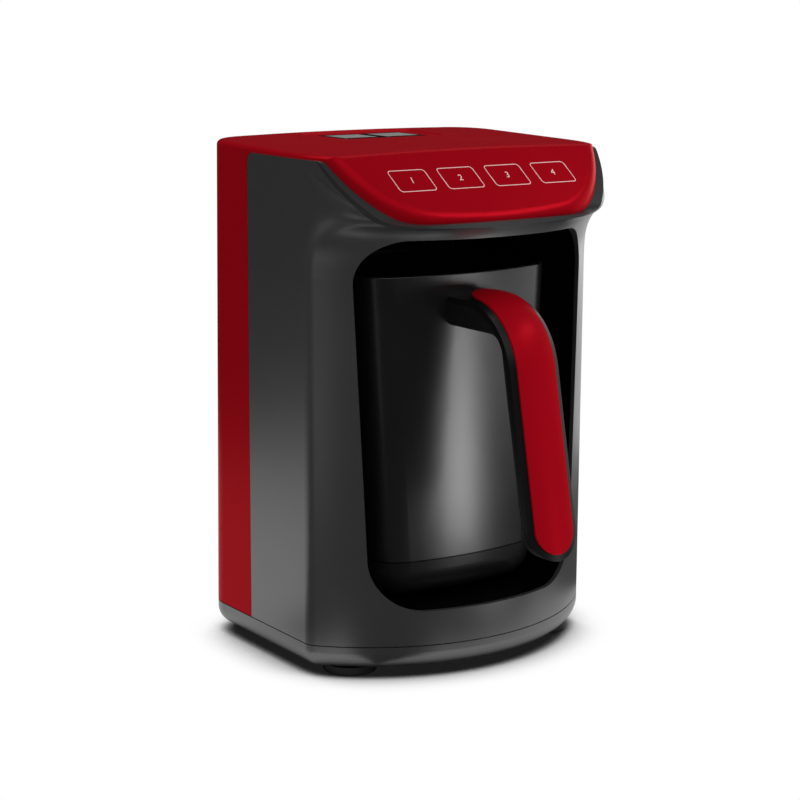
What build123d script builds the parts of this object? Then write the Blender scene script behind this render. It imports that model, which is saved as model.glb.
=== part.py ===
"""Electric turkish coffee maker: housing with a tilted control panel, and a jug that docks in it.

Millimetres. +Z is up, -Y is the front that the user faces, +X is the user's right.
The origin lies on the worktop, under the middle of the whole object's box.
"""
from build123d import *
from math import cos, hypot, radians, sin, sqrt, tan
import os

# ---------------------------------------------------------------- driving dimensions
body_half = 87.4          # half the housing's width
rear_y = 98.9            # back of the housing at the base seam
rear_lean = 4.5           # how far the back leans in towards the top
split_y = 48.9            # where the red rear shell meets the charcoal front housing
split_gap = 0.3           # shadow line between them
split_corner = 5.0        # rounded top rear corner of the charcoal sides
front_y = -48.0           # front wall on the centre line
front_radius = 115.0      # bow of the front wall in plan
front_corner = 9.0        # plan corner between the front wall and a side
rear_corner = 20.0        # plan corner between the back and a side

foot_height = 4.5
base_height = 12.3        # base tray, from its underside to the seam
base_round = 9.0          # rounded lower edge of the base tray
base_floor = 2.5
seam_gap = 0.5            # shadow gap between the base tray and the housing
lip_height = 4.0          # locating lip inside the seam
lip_wall = 1.6
side_top_z = 261.8        # top edge of the charcoal sides
cover_rim = 3.3           # red rim above the charcoal sides, at the crease
crease_y = -21.3          # crease between the top and the control panel
crown_rise = 1.0          # degrees by which the top rises towards the back
crown_radius = 3000.0     # side-to-side crown of the top

panel_angle = 45.5        # tilt of the control panel from the horizontal
panel_drop = 7.7          # height of the red cover's edge along the sloping sides
cover_skin = 3.0          # thickness of the red panel
cover_front_y = -51.9     # front of the red panel
cover_corner = 54.0       # its plan corner
cover_round = 2.6         # rounded edge of the top
panel_round = 8.0         # rounded edge of the control panel
crease_round = 6.0        # bend between the top and the control panel
lip_z = 231.8             # level lower edge of the red panel at the front
lip_round = 12.0          # bend between the level lip and the sloping edge
brow_round = 6.0          # bend between the sloping edge and the charcoal sides' top
bezel_band = 2.8          # height of the charcoal band under the red panel
visor_front_y = -54.9     # front of the visor
visor_radius = 420.0      # bow of its front in plan
visor_corner = 48.0       # its plan corner
flare_start_z = 204.0     # the front wall starts to sweep out to the visor
flare_tilt = 31.5         # its upper end climbs towards the back, degrees
flare_steps = 5
flare_power = 2.8         # how late the sweep turns outwards

reach = 400.0             # longer than the whole object: cuts run right through
wall = 2.6                # housing walls
fit = 0.2                 # clearance between parts that are fixed together
slide_fit = 0.3           # clearance round a part that moves
screw_radius = 1.4
head_radius = 2.8
head_height = 1.8
boss_radius = 4.5

mouth_bottom_z = 35.0     # sill of the jug bay
mouth_top_z = 223.6
mouth_half_bottom = 63.9
mouth_half_top = 72.0
mouth_corner_bottom = 28.0
mouth_corner_top = 22.0
bay_back_y = 77.9         # inner face of the bay's back wall
bay_back_round = 12.0
liner_wall = 2.0
flange_wall = 3.0         # thickened ring of the housing round the mouth

jug_front_y = -26.1       # front of the jug on the centre line
jug_back_y = 71.9
jug_front_radius = 172.0
jug_corner = 20.0
jug_half_rim = 58.5
jug_half_seam = 51.0
jug_top_z = 203.0
jug_seam_z = 55.8         # joint between the jug's shell and its base cup
jug_seam_gap = 0.6
jug_wall = 2.0
vessel_wall = 1.0         # stainless inner vessel
air_gap = 1.5
vessel_drop = 1.0         # vessel's flange below the shell's rim
vessel_floor_z = 63.0     # underside of the vessel
vessel_round = 6.0        # rounded edge of the vessel's floor
cup_round = 15.0          # rounding under the base cup
cup_wall = 2.2
dock_proud = 0.4          # dock plate above the sill

heater_radius = 36.0
heater_height = 4.0
element_radius = 26.0     # middle of the heating element's ring
element_tube = 3.2
plug_radius = 17.0        # jug's contact plug
plug_height = 7.0
dock_radius = 28.0
dock_flange = 3.0
contact_pitch = 10.0

handle_half = 15.0
handle_top_z = 194.6
handle_turn = 41.0        # outer bend radius
handle_inner_turn = 10.0
handle_lean = 11.8        # lean of the grip, degrees from the vertical
handle_lean_y = -79.7     # outer face of the grip, at handle_lean_z
handle_lean_z = 162.0
handle_thick = 9.0
handle_crown = 40.0       # radius across its outer face
handle_root = 17.5        # height of the arm that meets the jug
handle_end_z = 69.0       # lowest point of the grip
handle_bite = 5.0         # its form runs on into the jug before it is cut to the jug's wall
handle_round = 2.2        # rounded inner edges
frame_skin = 3.0          # front half of the handle
frame_round = 1.4        # its rounded outer edges
grip_half = 11.6
grip_start_y = -33.1      # where the red inlay starts on top of the arm
grip_sink = 1.2
grip_proud = 0.9
seat_gap = 0.15           # shadow line round an inset piece

key_width = 25.6
key_depth = 28.4
key_gap = 0.9             # between the two keys
key_y = 65.9              # centre of the keys
key_travel = 1.5
key_drop = 0.9            # depth of the dish round the keys
key_proud = 0.1           # keys above the dish
key_height = 7.2
key_wall = 1.4
cap_height = 1.6
skirt = 1.0               # retaining skirt round a key's foot
dish_margin = 8.0
plate_margin = 2.6        # top plate inside the cover's edge
plate_floor_z = 263.2     # seat of the top plate in the cover
plate_gap = 0.3           # seam round the top plate
plate_edge = 0.3          # its rounded edge

foot_radius = 14.0
foot_x = 62.0
foot_rear_x = 54.0
foot_front_y = -7.1
foot_rear_y = 70.0
foot_spigot = 4.0

board = 1.6               # circuit board thickness
gland_x = 52.0
gland_z = 34.0
gland_radius = 6.0
gland_bore = 3.3

vent_y = 62.9
vent_pitch = 6.0
vent_count = 4
vent_length = 70.0
vent_width = 2.5
foot_edge = 1.0
head_recess = 3.2
screw_length = 20.0
boss_height = 14.0
thread_fit = 0.05
tongue_low_z = 26.0
tongue_height = 220.0
tongue_wall = 1.6
tongue_reach = 8.0
board_length = 114.0      # touch board
board_seat = 4.0          # rim that the touch board rests on
board_round = 3.0
board_depth = 22.0
board_down = 18.5         # its centre, down the panel from the crease
plate_front = 1.5         # top plate's front edge behind the crease
sensor_y = 8.9
sensor_pitch = 34.0
sensor_radius = 4.5
control_y = 42.9
control_width = 96.0
control_depth = 44.0
control_lift = 8.0
control_hole_x = 86.0     # spacing of the control board's screws
control_hole_y = 36.0
post_radius = 3.0         # posts under the circuit boards
dock_sink = 5.0
connector_height = 10.0
contact_radius = 1.8
power_y = 64.9
power_width = 84.0
power_depth = 36.0
power_lift = 4.0
gland_flange = 1.6
frame_depth = 11.0
switch_height = 2.8
cap_sink = 0.5
spring_wire = 0.4
spring_radius = 5.4
spring_turns = 4
jug_edge = 0.7
seal_inset = 0.8
plug_recess = 0.3
handle_screw_zs = (181.5, 189.0)
handle_screw_length = 12.0


brow_edge = 2.0           # bend of the charcoal edge under the panel's upper end
screw_x = 70.0            # screws that hold the housing to the tray
screw_ys = (17.0, 57.0)
pillar_x = 30.0           # pillars that carry the jug bay
pillar_ys = (-15.0, 39.0)
rib_wall = 2.0
rib_lift = 1.0            # ribs clear the tray's lip
blind_end = 2.0           # solid end of a screw boss
overlap = 0.1             # pieces of one solid run this far into each other
tongue_root = 6.0         # glued length of the rear shell's tongues
connector_width = 12.0
connector_overhang = 5.0  # mounting ears of the dock connector
lens_flange = 1.5
lens_height = 1.0
sensor_margin = 12.0      # sensor board past the sensors
sensor_depth = 20.0
sensor_size = 8.0
sensor_chip = (10.0, 5.0)
sensor_height = 4.0
board_corner = 2.0
chip_x = 18.0             # processor on the control board
chip_size = 14.0
header_x = -40.0          # cable header on the control board
header_size = (6.0, 20.0)
chip_height = 3.0
buzzer_x = -18.0
buzzer_radius = 6.0
buzzer_height = 6.0
buzzer_hole = 1.2
power_post_inset = (5.0, 4.0)
transformer_inset = 20.0  # its centre from the board's left edge
transformer_core = (22.0, 18.0, 10.0)
transformer_coil = (14.0, 24.0, 5.0)
relay_inset = 32.0        # its centre from the board's right edge
relay_size = (19.0, 15.0, 13.0)
block_round = 1.0
frame_rim = 5.0           # key frame past the keys
frame_floor = 2.0
frame_corner = 3.0
switch_size = 6.0
plunger_radius = 1.7
plunger_height = 1.0
stem_radius = 2.0
key_corner = 1.0
cap_edge = 0.3
dish_taper = 62.0         # how flat the dish's sides are, degrees from the vertical
element_arc = 330.0
thermostat_radius = 9.0
thermostat_height = 4.0
stud_radius = 6.0
stud_height = 2.0
plug_flange = 2.0
neck_radius = 8.0

os.makedirs("parts", exist_ok=True)

# ---------------------------------------------------------------- derived places
base_z = foot_height
seam_z = foot_height + base_height
shell_z = seam_z + seam_gap
cover_z = side_top_z + cover_rim
slope = radians(panel_angle)
rear_top_y = rear_y - rear_lean
gland_y = rear_y - rear_lean * (gland_z - shell_z) / (side_top_z - shell_z) - wall / 2 - fit
jug_bottom_z = mouth_bottom_z + dock_proud
jug_y = (jug_front_y + jug_back_y) / 2
lip_back_y = crease_y + (lip_z - cover_z + panel_drop) / tan(slope)
brow_y = crease_y + (side_top_z - cover_z + panel_drop) / tan(slope)
band_end_y = brow_y + bezel_band / tan(slope)
bezel_z = lip_z - bezel_band
tray_floor_z = base_z + base_floor
liner_floor_z = mouth_bottom_z - liner_wall
liner_roof_z = mouth_top_z + liner_wall
ceiling_z = mouth_top_z - mouth_corner_top
lean = radians(handle_lean)
key_floor_z = cover_z + (key_y - crease_y) * tan(radians(crown_rise)) - key_drop
key_top_z = key_floor_z + key_proud
key_pitch = key_width + key_gap
keys_wide = 2 * key_width + key_gap
contact_spots = [
    (x * contact_pitch, y * contact_pitch) for x, y in ((0, 0), (1, 0), (-1, 0), (0, 1), (0, -1))
]
top_plane = Plane(
    origin=(0, crease_y, cover_z),
    x_dir=(-1, 0, 0),
    z_dir=(0, cos(radians(crown_rise)), sin(radians(crown_rise))),
)
panel_plane = Plane(origin=(0, crease_y, cover_z), x_dir=(1, 0, 0), z_dir=(0, -sin(slope), cos(slope)))
foot_spots = [
    (side * x, y) for x, y in ((foot_x, foot_front_y), (foot_rear_x, foot_rear_y)) for side in (-1, 1)
]
screw_spots = [(x, y) for x in (-screw_x, screw_x) for y in screw_ys]
pillar_spots = [(x, y) for x in (-pillar_x, pillar_x) for y in pillar_ys]
lowest = (Align.CENTER, Align.CENTER, Align.MIN)
highest = (Align.CENTER, Align.CENTER, Align.MAX)


def export(piece, label):
    """Names a finished piece and writes it to parts/."""
    piece.part.label = label
    export_step(piece.part, f"parts/{label}.step")


def faces_up(face):
    """Whether a face looks mostly upwards."""
    return face.normal_at().Z > 0.5


def is_crease(edge):
    """Whether an edge lies along the crease between the top and the control panel."""
    middle = edge.center()
    return abs(middle.Y - crease_y) < 0.5 and abs(middle.Z - cover_z) < 0.5 and edge.length > body_half


def border(faces):
    """The edges that only one of the faces has."""
    edges = [edge for face in faces for edge in face.edges()]
    return ShapeList(edge for edge in edges if sum(edge.is_same(other) for other in edges) == 1)


def mix(a, b, share):
    """The value that lies the given share of the way from a to b."""
    return a + (b - a) * share


def plan(half, front, bow, corner, back, back_corner, inset=0.0):
    """Adds a plan outline to the open sketch: bowed front, rounded corners, straight sides and back."""
    w = half - inset
    f = front + inset
    big = bow - inset
    r = max(corner - inset, 1.0)
    b = back - inset
    s = max(back_corner - inset, 0.5)
    cy = f + big - sqrt((big - r) ** 2 - (w - r) ** 2)
    ux = (w - r) / (big - r)
    uy = (cy - f - big) / (big - r)
    mx, my = ux + 1, uy
    m = hypot(mx, my)
    tangent = (big * ux, f + big + big * uy)
    middle = (w - r + r * mx / m, cy + r * my / m)
    k = s * (1 - 1 / sqrt(2))
    with BuildLine() as outline:
        ThreePointArc((-tangent[0], tangent[1]), (0, f), tangent)
        ThreePointArc(tangent, middle, (w, cy))
        Line((w, cy), (w, b - s))
        ThreePointArc((w, b - s), (w - k, b - k), (w - s, b))
        Line((w - s, b), (s - w, b))
        ThreePointArc((s - w, b), (k - w, b - k), (-w, b - s))
        Line((-w, b - s), (-w, cy))
        ThreePointArc((-w, cy), (-middle[0], middle[1]), (-tangent[0], tangent[1]))
    make_face(outline.edges())


def body_plan(inset=0.0):
    """The housing's plan outline."""
    plan(body_half, front_y, front_radius, front_corner, rear_y, rear_corner, inset)


def cover_plan(inset=0.0):
    """The plan outline of the red cover: flush with the sides, and inside the visor at the front."""
    plan(body_half, cover_front_y, visor_radius, cover_corner, rear_top_y, rear_corner, inset)


def jug_plan(half, inset=0.0):
    """The jug's plan outline: a rounded square with a gently bowed front."""
    plan(half, jug_front_y, jug_front_radius, jug_corner, jug_back_y, jug_corner, inset)


def jug_half(z):
    """Half the jug's width at a height: it tapers from the rim to the seam and goes on below it."""
    return mix(jug_half_seam, jug_half_rim, (z - jug_seam_z) / (jug_top_z - jug_seam_z))


def jug_form(low, high, inset=0.0, mode=Mode.ADD):
    """Adds the jug's tapered form between two heights to the open part."""
    sections = []
    for z in (low, high):
        with BuildSketch(Plane.XY.offset(z)) as section:
            jug_plan(jug_half(z), inset)
        sections.append(section.sketch)
    loft(sections, mode=mode)


def rear_plan(back, inset=0.0):
    """The rear shell's plan outline, from behind the split back to the given depth."""
    w = body_half - inset
    s = rear_corner - inset
    b = back - inset
    k = s * (1 - 1 / sqrt(2))
    front = split_y - split_corner - overlap
    with BuildLine() as outline:
        Line((-w, front), (w, front))
        Line((w, front), (w, b - s))
        ThreePointArc((w, b - s), (w - k, b - k), (w - s, b))
        Line((w - s, b), (s - w, b))
        ThreePointArc((s - w, b), (k - w, b - k), (-w, b - s))
        Line((-w, b - s), (-w, front))
    make_face(outline.edges())


def visor_share(share, inset=0.0):
    """Adds the plan outline at a share of the sweep, from the wall's plan to the visor's."""
    plan(
        body_half,
        mix(front_y, visor_front_y, share),
        1 / mix(1 / front_radius, 1 / visor_radius, share),
        mix(front_corner, visor_corner, share),
        rear_y,
        rear_corner,
        inset,
    )


def flare_plane(share):
    """The plane of a section of the sweep: level at its start, climbing to the back at its end."""
    angle = radians(flare_tilt) * share
    axis_y = visor_front_y - (bezel_z - flare_start_z) / tan(radians(flare_tilt))
    return Plane(origin=(0, axis_y, flare_start_z), x_dir=(1, 0, 0), z_dir=(0, -sin(angle), cos(angle)))


def flared_form(inset=0.0):
    """Adds the front housing's form: straight walls, the sweep out to the visor and the visor's walls."""
    sections = []
    for k in range(flare_steps + 1):
        share = k / flare_steps
        with BuildPart(mode=Mode.PRIVATE) as column:
            with BuildSketch(Plane.XY.offset(shell_z)):
                visor_share(share**flare_power, inset)
            extrude(amount=reach)
        sections.append(section(column.part, section_by=flare_plane(share), mode=Mode.PRIVATE))
        ends = column.part
    with BuildSketch(Plane.XY.offset(shell_z)) as foot:
        body_plan(inset)
    extrude(foot.sketch, amount=flare_start_z - shell_z)
    loft(sections)
    with BuildPart(mode=Mode.PRIVATE) as visor:
        add(ends)
        with BuildSketch(flare_plane(1)):
            Rectangle(2 * reach, 2 * reach)
        extrude(amount=reach, mode=Mode.INTERSECT)
        with BuildSketch(Plane.XY):
            Rectangle(2 * reach, 2 * reach)
        extrude(amount=cover_z, mode=Mode.INTERSECT)
    add(visor.part)


def trim_to_top():
    """Trims the open part to the crowned top surface."""
    edge = 1.1 * body_half
    sag = edge**2 / (2 * crown_radius)
    with BuildSketch(top_plane) as below:
        with BuildLine() as outline:
            Polyline((-edge, -sag), (-edge, -reach), (edge, -reach), (edge, -sag))
            ThreePointArc((edge, -sag), (0, 0), (-edge, -sag))
        make_face(outline.edges())
    extrude(below.sketch, amount=reach, both=True, mode=Mode.INTERSECT)


def trim_to_panel(drop=0.0):
    """Trims the open part to the panel's plane, lowered across itself by drop."""
    with BuildSketch(panel_plane.offset(-drop)) as below:
        Rectangle(2 * reach, 2 * reach)
    extrude(below.sketch, amount=-reach, mode=Mode.INTERSECT)


def housing_side(gap=0.0):
    """Adds the charcoal housing's outline in side view to the open sketch."""
    y = split_y + gap
    with BuildLine() as outline:
        FilletPolyline(
            (-reach, bezel_z),
            (lip_back_y, bezel_z),
            (band_end_y, side_top_z),
            (y, side_top_z),
            (y, 0),
            radius=[lip_round, brow_edge, split_corner],
        )
        Polyline((y, 0), (-reach, 0), (-reach, bezel_z))
    make_face(outline.edges())


def bezel_side():
    """Adds the bezel's outline in side view: a band between the red cover and the charcoal housing."""
    with BuildLine() as outline:
        FilletPolyline(
            (-reach, lip_z),
            (lip_back_y, lip_z),
            (brow_y, side_top_z),
            (band_end_y, side_top_z),
            radius=[lip_round, brow_round],
        )
        FilletPolyline(
            (band_end_y, side_top_z),
            (lip_back_y, bezel_z),
            (-reach, bezel_z),
            radius=lip_round,
        )
        Line((-reach, bezel_z), (-reach, lip_z))
    make_face(outline.edges())


def cover_side():
    """Adds the space above the red cover's lower edge in side view to the open sketch."""
    back = reach
    with BuildLine() as outline:
        FilletPolyline(
            (-reach, lip_z),
            (lip_back_y, lip_z),
            (brow_y, side_top_z),
            (back, side_top_z),
            radius=[lip_round, brow_round],
        )
        Polyline((back, side_top_z), (back, reach), (-reach, reach), (-reach, lip_z))
    make_face(outline.edges())


def mouth_plan(grow=0.0):
    """Adds the jug bay's mouth to the open sketch: a rounded trapezium, wider at the top."""
    low = mouth_half_bottom + grow
    high = mouth_half_top + grow
    bottom = mouth_bottom_z - grow
    top = mouth_top_z + grow
    with BuildLine() as outline:
        FilletPolyline(
            (0, bottom),
            (low, bottom),
            (high, top),
            (0, top),
            radius=[mouth_corner_bottom + grow, mouth_corner_top + grow],
        )
        mirror(about=Plane.YZ)
    make_face(outline.edges())


# ---------------------------------------------------------------- housing
with BuildPart() as tray_hollow:
    with BuildSketch(Plane.XY.offset(tray_floor_z)):
        body_plan(wall + fit + lip_wall)
    extrude(amount=base_height + lip_height)
    fillet(tray_hollow.edges().group_by(Axis.Z)[0], base_round - wall - lip_wall)

with BuildPart() as base_tray:
    with BuildSketch(Plane.XY.offset(base_z)):
        body_plan()
    extrude(amount=base_height)
    fillet(base_tray.edges().group_by(Axis.Z)[0], base_round)
    # lip that centres the housing on the tray
    with BuildSketch(Plane.XY.offset(seam_z)):
        body_plan(wall + fit)
    extrude(amount=lip_height)
    add(tray_hollow.part, mode=Mode.SUBTRACT)
    # screw bosses, and pillars that carry the jug bay
    with BuildSketch(Plane.XY.offset(base_z)):
        with Locations(*screw_spots):
            Circle(boss_radius)
    extrude(amount=shell_z - base_z)
    with BuildSketch(Plane.XY.offset(base_z)):
        with Locations(*pillar_spots):
            Circle(boss_radius)
    extrude(amount=liner_floor_z - base_z)
    with BuildSketch(Plane.XY.offset(base_z)):
        with Locations(*foot_spots):
            Circle(foot_radius - foot_spigot + fit)
    extrude(amount=base_floor, mode=Mode.SUBTRACT)
    with BuildSketch(Plane.XY.offset(base_z)):
        with Locations((0, vent_y)):
            with GridLocations(0, vent_pitch, 1, vent_count):
                SlotOverall(vent_length, vent_width)
    extrude(amount=base_floor, mode=Mode.SUBTRACT)
    with Locations(*[(x, y, base_z) for x, y in screw_spots]):
        Cylinder(head_radius + fit, head_recess, align=lowest, mode=Mode.SUBTRACT)
        Cylinder(screw_radius + fit, base_height + lip_height, align=lowest, mode=Mode.SUBTRACT)
export(base_tray, "base_tray")

with BuildPart() as rubber_feet:
    with BuildSketch():
        with Locations(*foot_spots):
            Circle(foot_radius)
    extrude(amount=foot_height)
    fillet(rubber_feet.edges().group_by(Axis.Z)[0], foot_edge)
    with BuildSketch(Plane.XY.offset(foot_height)):
        with Locations(*foot_spots):
            Circle(foot_radius - foot_spigot)
    extrude(amount=base_floor)
export(rubber_feet, "rubber_feet")

with BuildPart() as base_screws:
    with Locations(*[(x, y, base_z + head_recess) for x, y in screw_spots]):
        Cylinder(head_radius, head_height, align=highest)
        Cylinder(screw_radius, screw_length, align=lowest)
export(base_screws, "base_screws")


def screw_boss(x, y, wall_x):
    """Adds a screw boss with a rib that runs out to the wall at x = wall_x."""
    side = 1 if x > 0 else -1
    with BuildSketch(Plane.XY.offset(shell_z)) as post:
        with Locations((x, y)):
            Circle(boss_radius)
    extrude(post.sketch, amount=boss_height)
    with BuildSketch(Plane.XY.offset(seam_z + lip_height + rib_lift)) as rib:
        with Locations(((x + side * wall_x) / 2, y)):
            Rectangle(abs(side * wall_x - x), rib_wall)
    extrude(rib.sketch, amount=boss_height - lip_height)
    with Locations((x, y, shell_z)):
        Cylinder(screw_radius + thread_fit, boss_height - blind_end, align=lowest, mode=Mode.SUBTRACT)


with BuildPart() as housing_hollow:
    flared_form(wall)
    with BuildSketch(Plane.XZ):
        mouth_plan(flange_wall)
    extrude(amount=reach, mode=Mode.SUBTRACT)
    with BuildSketch(Plane.XY.offset(shell_z)):
        body_plan(wall)
    extrude(amount=liner_roof_z + flange_wall - liner_wall - shell_z)

with BuildPart() as front_housing:
    flared_form()
    with BuildSketch(Plane.YZ):
        housing_side()
    extrude(amount=reach, both=True, mode=Mode.INTERSECT)
    add(housing_hollow.part, mode=Mode.SUBTRACT)
    with BuildSketch(Plane.XZ):
        mouth_plan()
    extrude(amount=reach, mode=Mode.SUBTRACT)
    for spot in screw_spots:
        if spot[1] < split_y:
            screw_boss(*spot, body_half - wall)
export(front_housing, "front_housing")

with BuildPart() as rear_shell:
    for z, back in ((shell_z, rear_y), (side_top_z, rear_top_y)):
        with BuildSketch(Plane.XY.offset(z)):
            rear_plan(back)
    loft()
    for z, back in ((shell_z, rear_y), (side_top_z, rear_top_y)):
        with BuildSketch(Plane.XY.offset(z)):
            rear_plan(back, wall)
    loft(mode=Mode.SUBTRACT)
    with BuildSketch(Plane.YZ):
        housing_side(split_gap)
    extrude(amount=reach, both=True, mode=Mode.SUBTRACT)
    # tongues that run inside the front housing's sides
    with BuildSketch(Plane.XY.offset(tongue_low_z)):
        with BuildLine():
            Polyline(
                (body_half - wall + overlap, split_y + tongue_root),
                (body_half - wall - tongue_wall - fit, split_y + tongue_root),
                (body_half - wall - tongue_wall - fit, split_y - tongue_reach),
                (body_half - wall - fit, split_y - tongue_reach),
                (body_half - wall - fit, split_y + split_gap),
                (body_half - wall + overlap, split_y + split_gap),
                close=True,
            )
        make_face()
        mirror(about=Plane.YZ)
    extrude(amount=tongue_height)
    for spot in screw_spots:
        if spot[1] > split_y:
            screw_boss(*spot, body_half - wall)
    with Locations(Location((gland_x, rear_y, gland_z), (90, 0, 0))):
        Cylinder(gland_radius + fit, 4 * wall, mode=Mode.SUBTRACT)
export(rear_shell, "rear_shell")

with BuildPart() as panel_bezel:
    flared_form()
    with BuildSketch(Plane.YZ):
        bezel_side()
    extrude(amount=reach, both=True, mode=Mode.INTERSECT)
    with BuildSketch(panel_plane):
        with Locations((0, -board_down)):
            RectangleRounded(board_length - 2 * board_seat, board_depth - 2 * board_seat, board_round)
    extrude(amount=-reach, mode=Mode.SUBTRACT)
export(panel_bezel, "panel_bezel")

with BuildPart() as cover_hollow:
    with BuildSketch(Plane.XY.offset(bezel_z)):
        cover_plan(wall)
    extrude(amount=side_top_z - bezel_z)
    trim_to_panel(cover_skin)

with BuildPart() as panel_form:
    with BuildSketch(Plane.XY.offset(bezel_z)):
        cover_plan()
    extrude(amount=reach)
    trim_to_panel()
    fillet(border(panel_form.faces().filter_by(faces_up)), panel_round)

with BuildPart() as plate_form:
    with BuildSketch(Plane.XY.offset(plate_floor_z)):
        cover_plan(plate_margin + plate_gap)
    extrude(amount=reach)
    with BuildSketch(Plane.XY.offset(plate_floor_z)):
        with Locations((0, crease_y + plate_front)):
            Rectangle(2 * reach, reach, align=(Align.CENTER, Align.MAX))
    extrude(amount=reach, mode=Mode.SUBTRACT)
    trim_to_top()
    fillet(border(plate_form.faces().filter_by(faces_up)), plate_edge)

with BuildPart() as plate_pocket:
    with BuildSketch(Plane.XY.offset(plate_floor_z)):
        cover_plan(plate_margin)
    extrude(amount=reach)
    with BuildSketch(Plane.XY.offset(plate_floor_z)):
        with Locations((0, crease_y + plate_front - plate_gap)):
            Rectangle(2 * reach, reach, align=(Align.CENTER, Align.MAX))
    extrude(amount=reach, mode=Mode.SUBTRACT)

with BuildPart() as top_cover:
    with BuildSketch(Plane.XY.offset(bezel_z)):
        cover_plan()
    extrude(amount=reach)
    with BuildSketch(Plane.YZ):
        cover_side()
    extrude(amount=reach, both=True, mode=Mode.INTERSECT)
    trim_to_panel()
    trim_to_top()
    fillet(top_cover.edges().filter_by(is_crease), crease_round)
    fillet(border(top_cover.faces().filter_by(faces_up)), cover_round)
    add(panel_form.part, mode=Mode.INTERSECT)
    add(cover_hollow.part, mode=Mode.SUBTRACT)
    add(plate_pocket.part, mode=Mode.SUBTRACT)
    with BuildSketch(Plane.XY.offset(side_top_z)):
        with Locations((0, key_y)):
            Rectangle(keys_wide + 4 * skirt, key_depth + 4 * skirt)
    extrude(amount=10, mode=Mode.SUBTRACT)
export(top_cover, "top_cover")

with BuildPart() as top_plate:
    add(plate_form.part)
    with BuildSketch(Plane.XY.offset(key_floor_z)):
        with Locations((0, key_y)):
            RectangleRounded(keys_wide + 2 * dish_margin, key_depth + 2 * dish_margin, dish_margin)
    extrude(amount=2 * key_drop, taper=-dish_taper, mode=Mode.SUBTRACT)
    with BuildSketch(Plane.XY.offset(side_top_z)):
        with Locations((0, key_y)):
            Rectangle(keys_wide + 2 * slide_fit, key_depth + 2 * slide_fit)
    extrude(amount=10, mode=Mode.SUBTRACT)
export(top_plate, "top_plate")

# ---------------------------------------------------------------- jug bay
with BuildPart() as bay_space:
    with BuildSketch(Plane.XZ.offset(-bay_back_y)):
        mouth_plan()
    extrude(amount=reach)
    fillet(bay_space.edges().group_by(Axis.Y)[-1], bay_back_round)

with BuildPart() as liner_form:
    with BuildSketch(Plane.XZ.offset(-bay_back_y - liner_wall)):
        mouth_plan(liner_wall)
    extrude(amount=reach)
    fillet(liner_form.edges().group_by(Axis.Y)[-1], bay_back_round + liner_wall)
    with BuildSketch(Plane.XY):
        body_plan(wall + fit)
    extrude(amount=reach, mode=Mode.INTERSECT)
    add(bay_space.part, mode=Mode.SUBTRACT)
    # seat of the dock
    with BuildSketch(Plane.XY.offset(liner_floor_z)):
        with Locations((0, jug_y)):
            Circle(dock_radius - dock_flange + fit)
    extrude(amount=liner_wall + 1, mode=Mode.SUBTRACT)
    # windows for the foam sensors
    with BuildSketch(Plane.XY.offset(mouth_top_z - 1)):
        with Locations((0, sensor_y)):
            with GridLocations(sensor_pitch, 0, 2, 1):
                Circle(sensor_radius + fit)
    extrude(amount=liner_wall + 2, mode=Mode.SUBTRACT)
    # posts that carry the control board
    with BuildSketch(Plane.XY.offset(liner_roof_z - liner_wall / 2)):
        with Locations((0, control_y)):
            with GridLocations(control_hole_x, control_hole_y, 2, 2):
                Circle(post_radius)
    extrude(amount=liner_wall / 2 + control_lift)

with BuildPart() as cavity_liner:
    add(liner_form.part)
    split(bisect_by=Plane.XY.offset(ceiling_z), keep=Keep.BOTTOM)
export(cavity_liner, "cavity_liner")

with BuildPart() as bay_ceiling:
    add(liner_form.part)
    split(bisect_by=Plane.XY.offset(ceiling_z), keep=Keep.TOP)
export(bay_ceiling, "bay_ceiling")

with BuildPart() as dock_plate:
    with BuildSketch(Plane.XY.offset(mouth_bottom_z)):
        with Locations((0, jug_y)):
            Circle(dock_radius)
    extrude(amount=dock_proud)
    with BuildSketch(Plane.XY.offset(mouth_bottom_z)):
        with Locations((0, jug_y)):
            Circle(dock_radius - dock_flange)
    extrude(amount=-dock_sink)
    with BuildSketch(Plane.XY.offset(jug_bottom_z)):
        with Locations((0, jug_y)):
            with Locations(*contact_spots):
                Circle(contact_radius + fit)
    extrude(amount=-dock_sink - dock_proud, mode=Mode.SUBTRACT)
export(dock_plate, "dock_plate")

with BuildPart() as dock_connector:
    with BuildSketch(Plane.XY.offset(mouth_bottom_z - dock_sink)):
        with Locations((0, jug_y)):
            Circle(plug_radius)
    extrude(amount=-connector_height)
    with BuildSketch(Plane.XY.offset(mouth_bottom_z - dock_sink - connector_height)):
        with Locations((0, jug_y)):
            Rectangle(connector_width, 2 * (plug_radius + connector_overhang))
    extrude(amount=connector_height / 2)
export(dock_connector, "dock_connector")

with BuildPart() as dock_contacts:
    with BuildSketch(Plane.XY.offset(mouth_bottom_z - dock_sink)):
        with Locations((0, jug_y)):
            with Locations(*contact_spots):
                Circle(contact_radius)
    extrude(amount=dock_sink)
    fillet(dock_contacts.edges().group_by(Axis.Z)[-1], contact_radius / 2)
export(dock_contacts, "dock_contacts")

with BuildPart() as sensor_lenses:
    with BuildSketch(Plane.XY.offset(mouth_top_z)):
        with Locations((0, sensor_y)):
            with GridLocations(sensor_pitch, 0, 2, 1):
                Circle(sensor_radius)
    extrude(amount=liner_wall)
    with BuildSketch(Plane.XY.offset(liner_roof_z)):
        with Locations((0, sensor_y)):
            with GridLocations(sensor_pitch, 0, 2, 1):
                Circle(sensor_radius + lens_flange)
    extrude(amount=lens_height)
export(sensor_lenses, "sensor_lenses")

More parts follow.
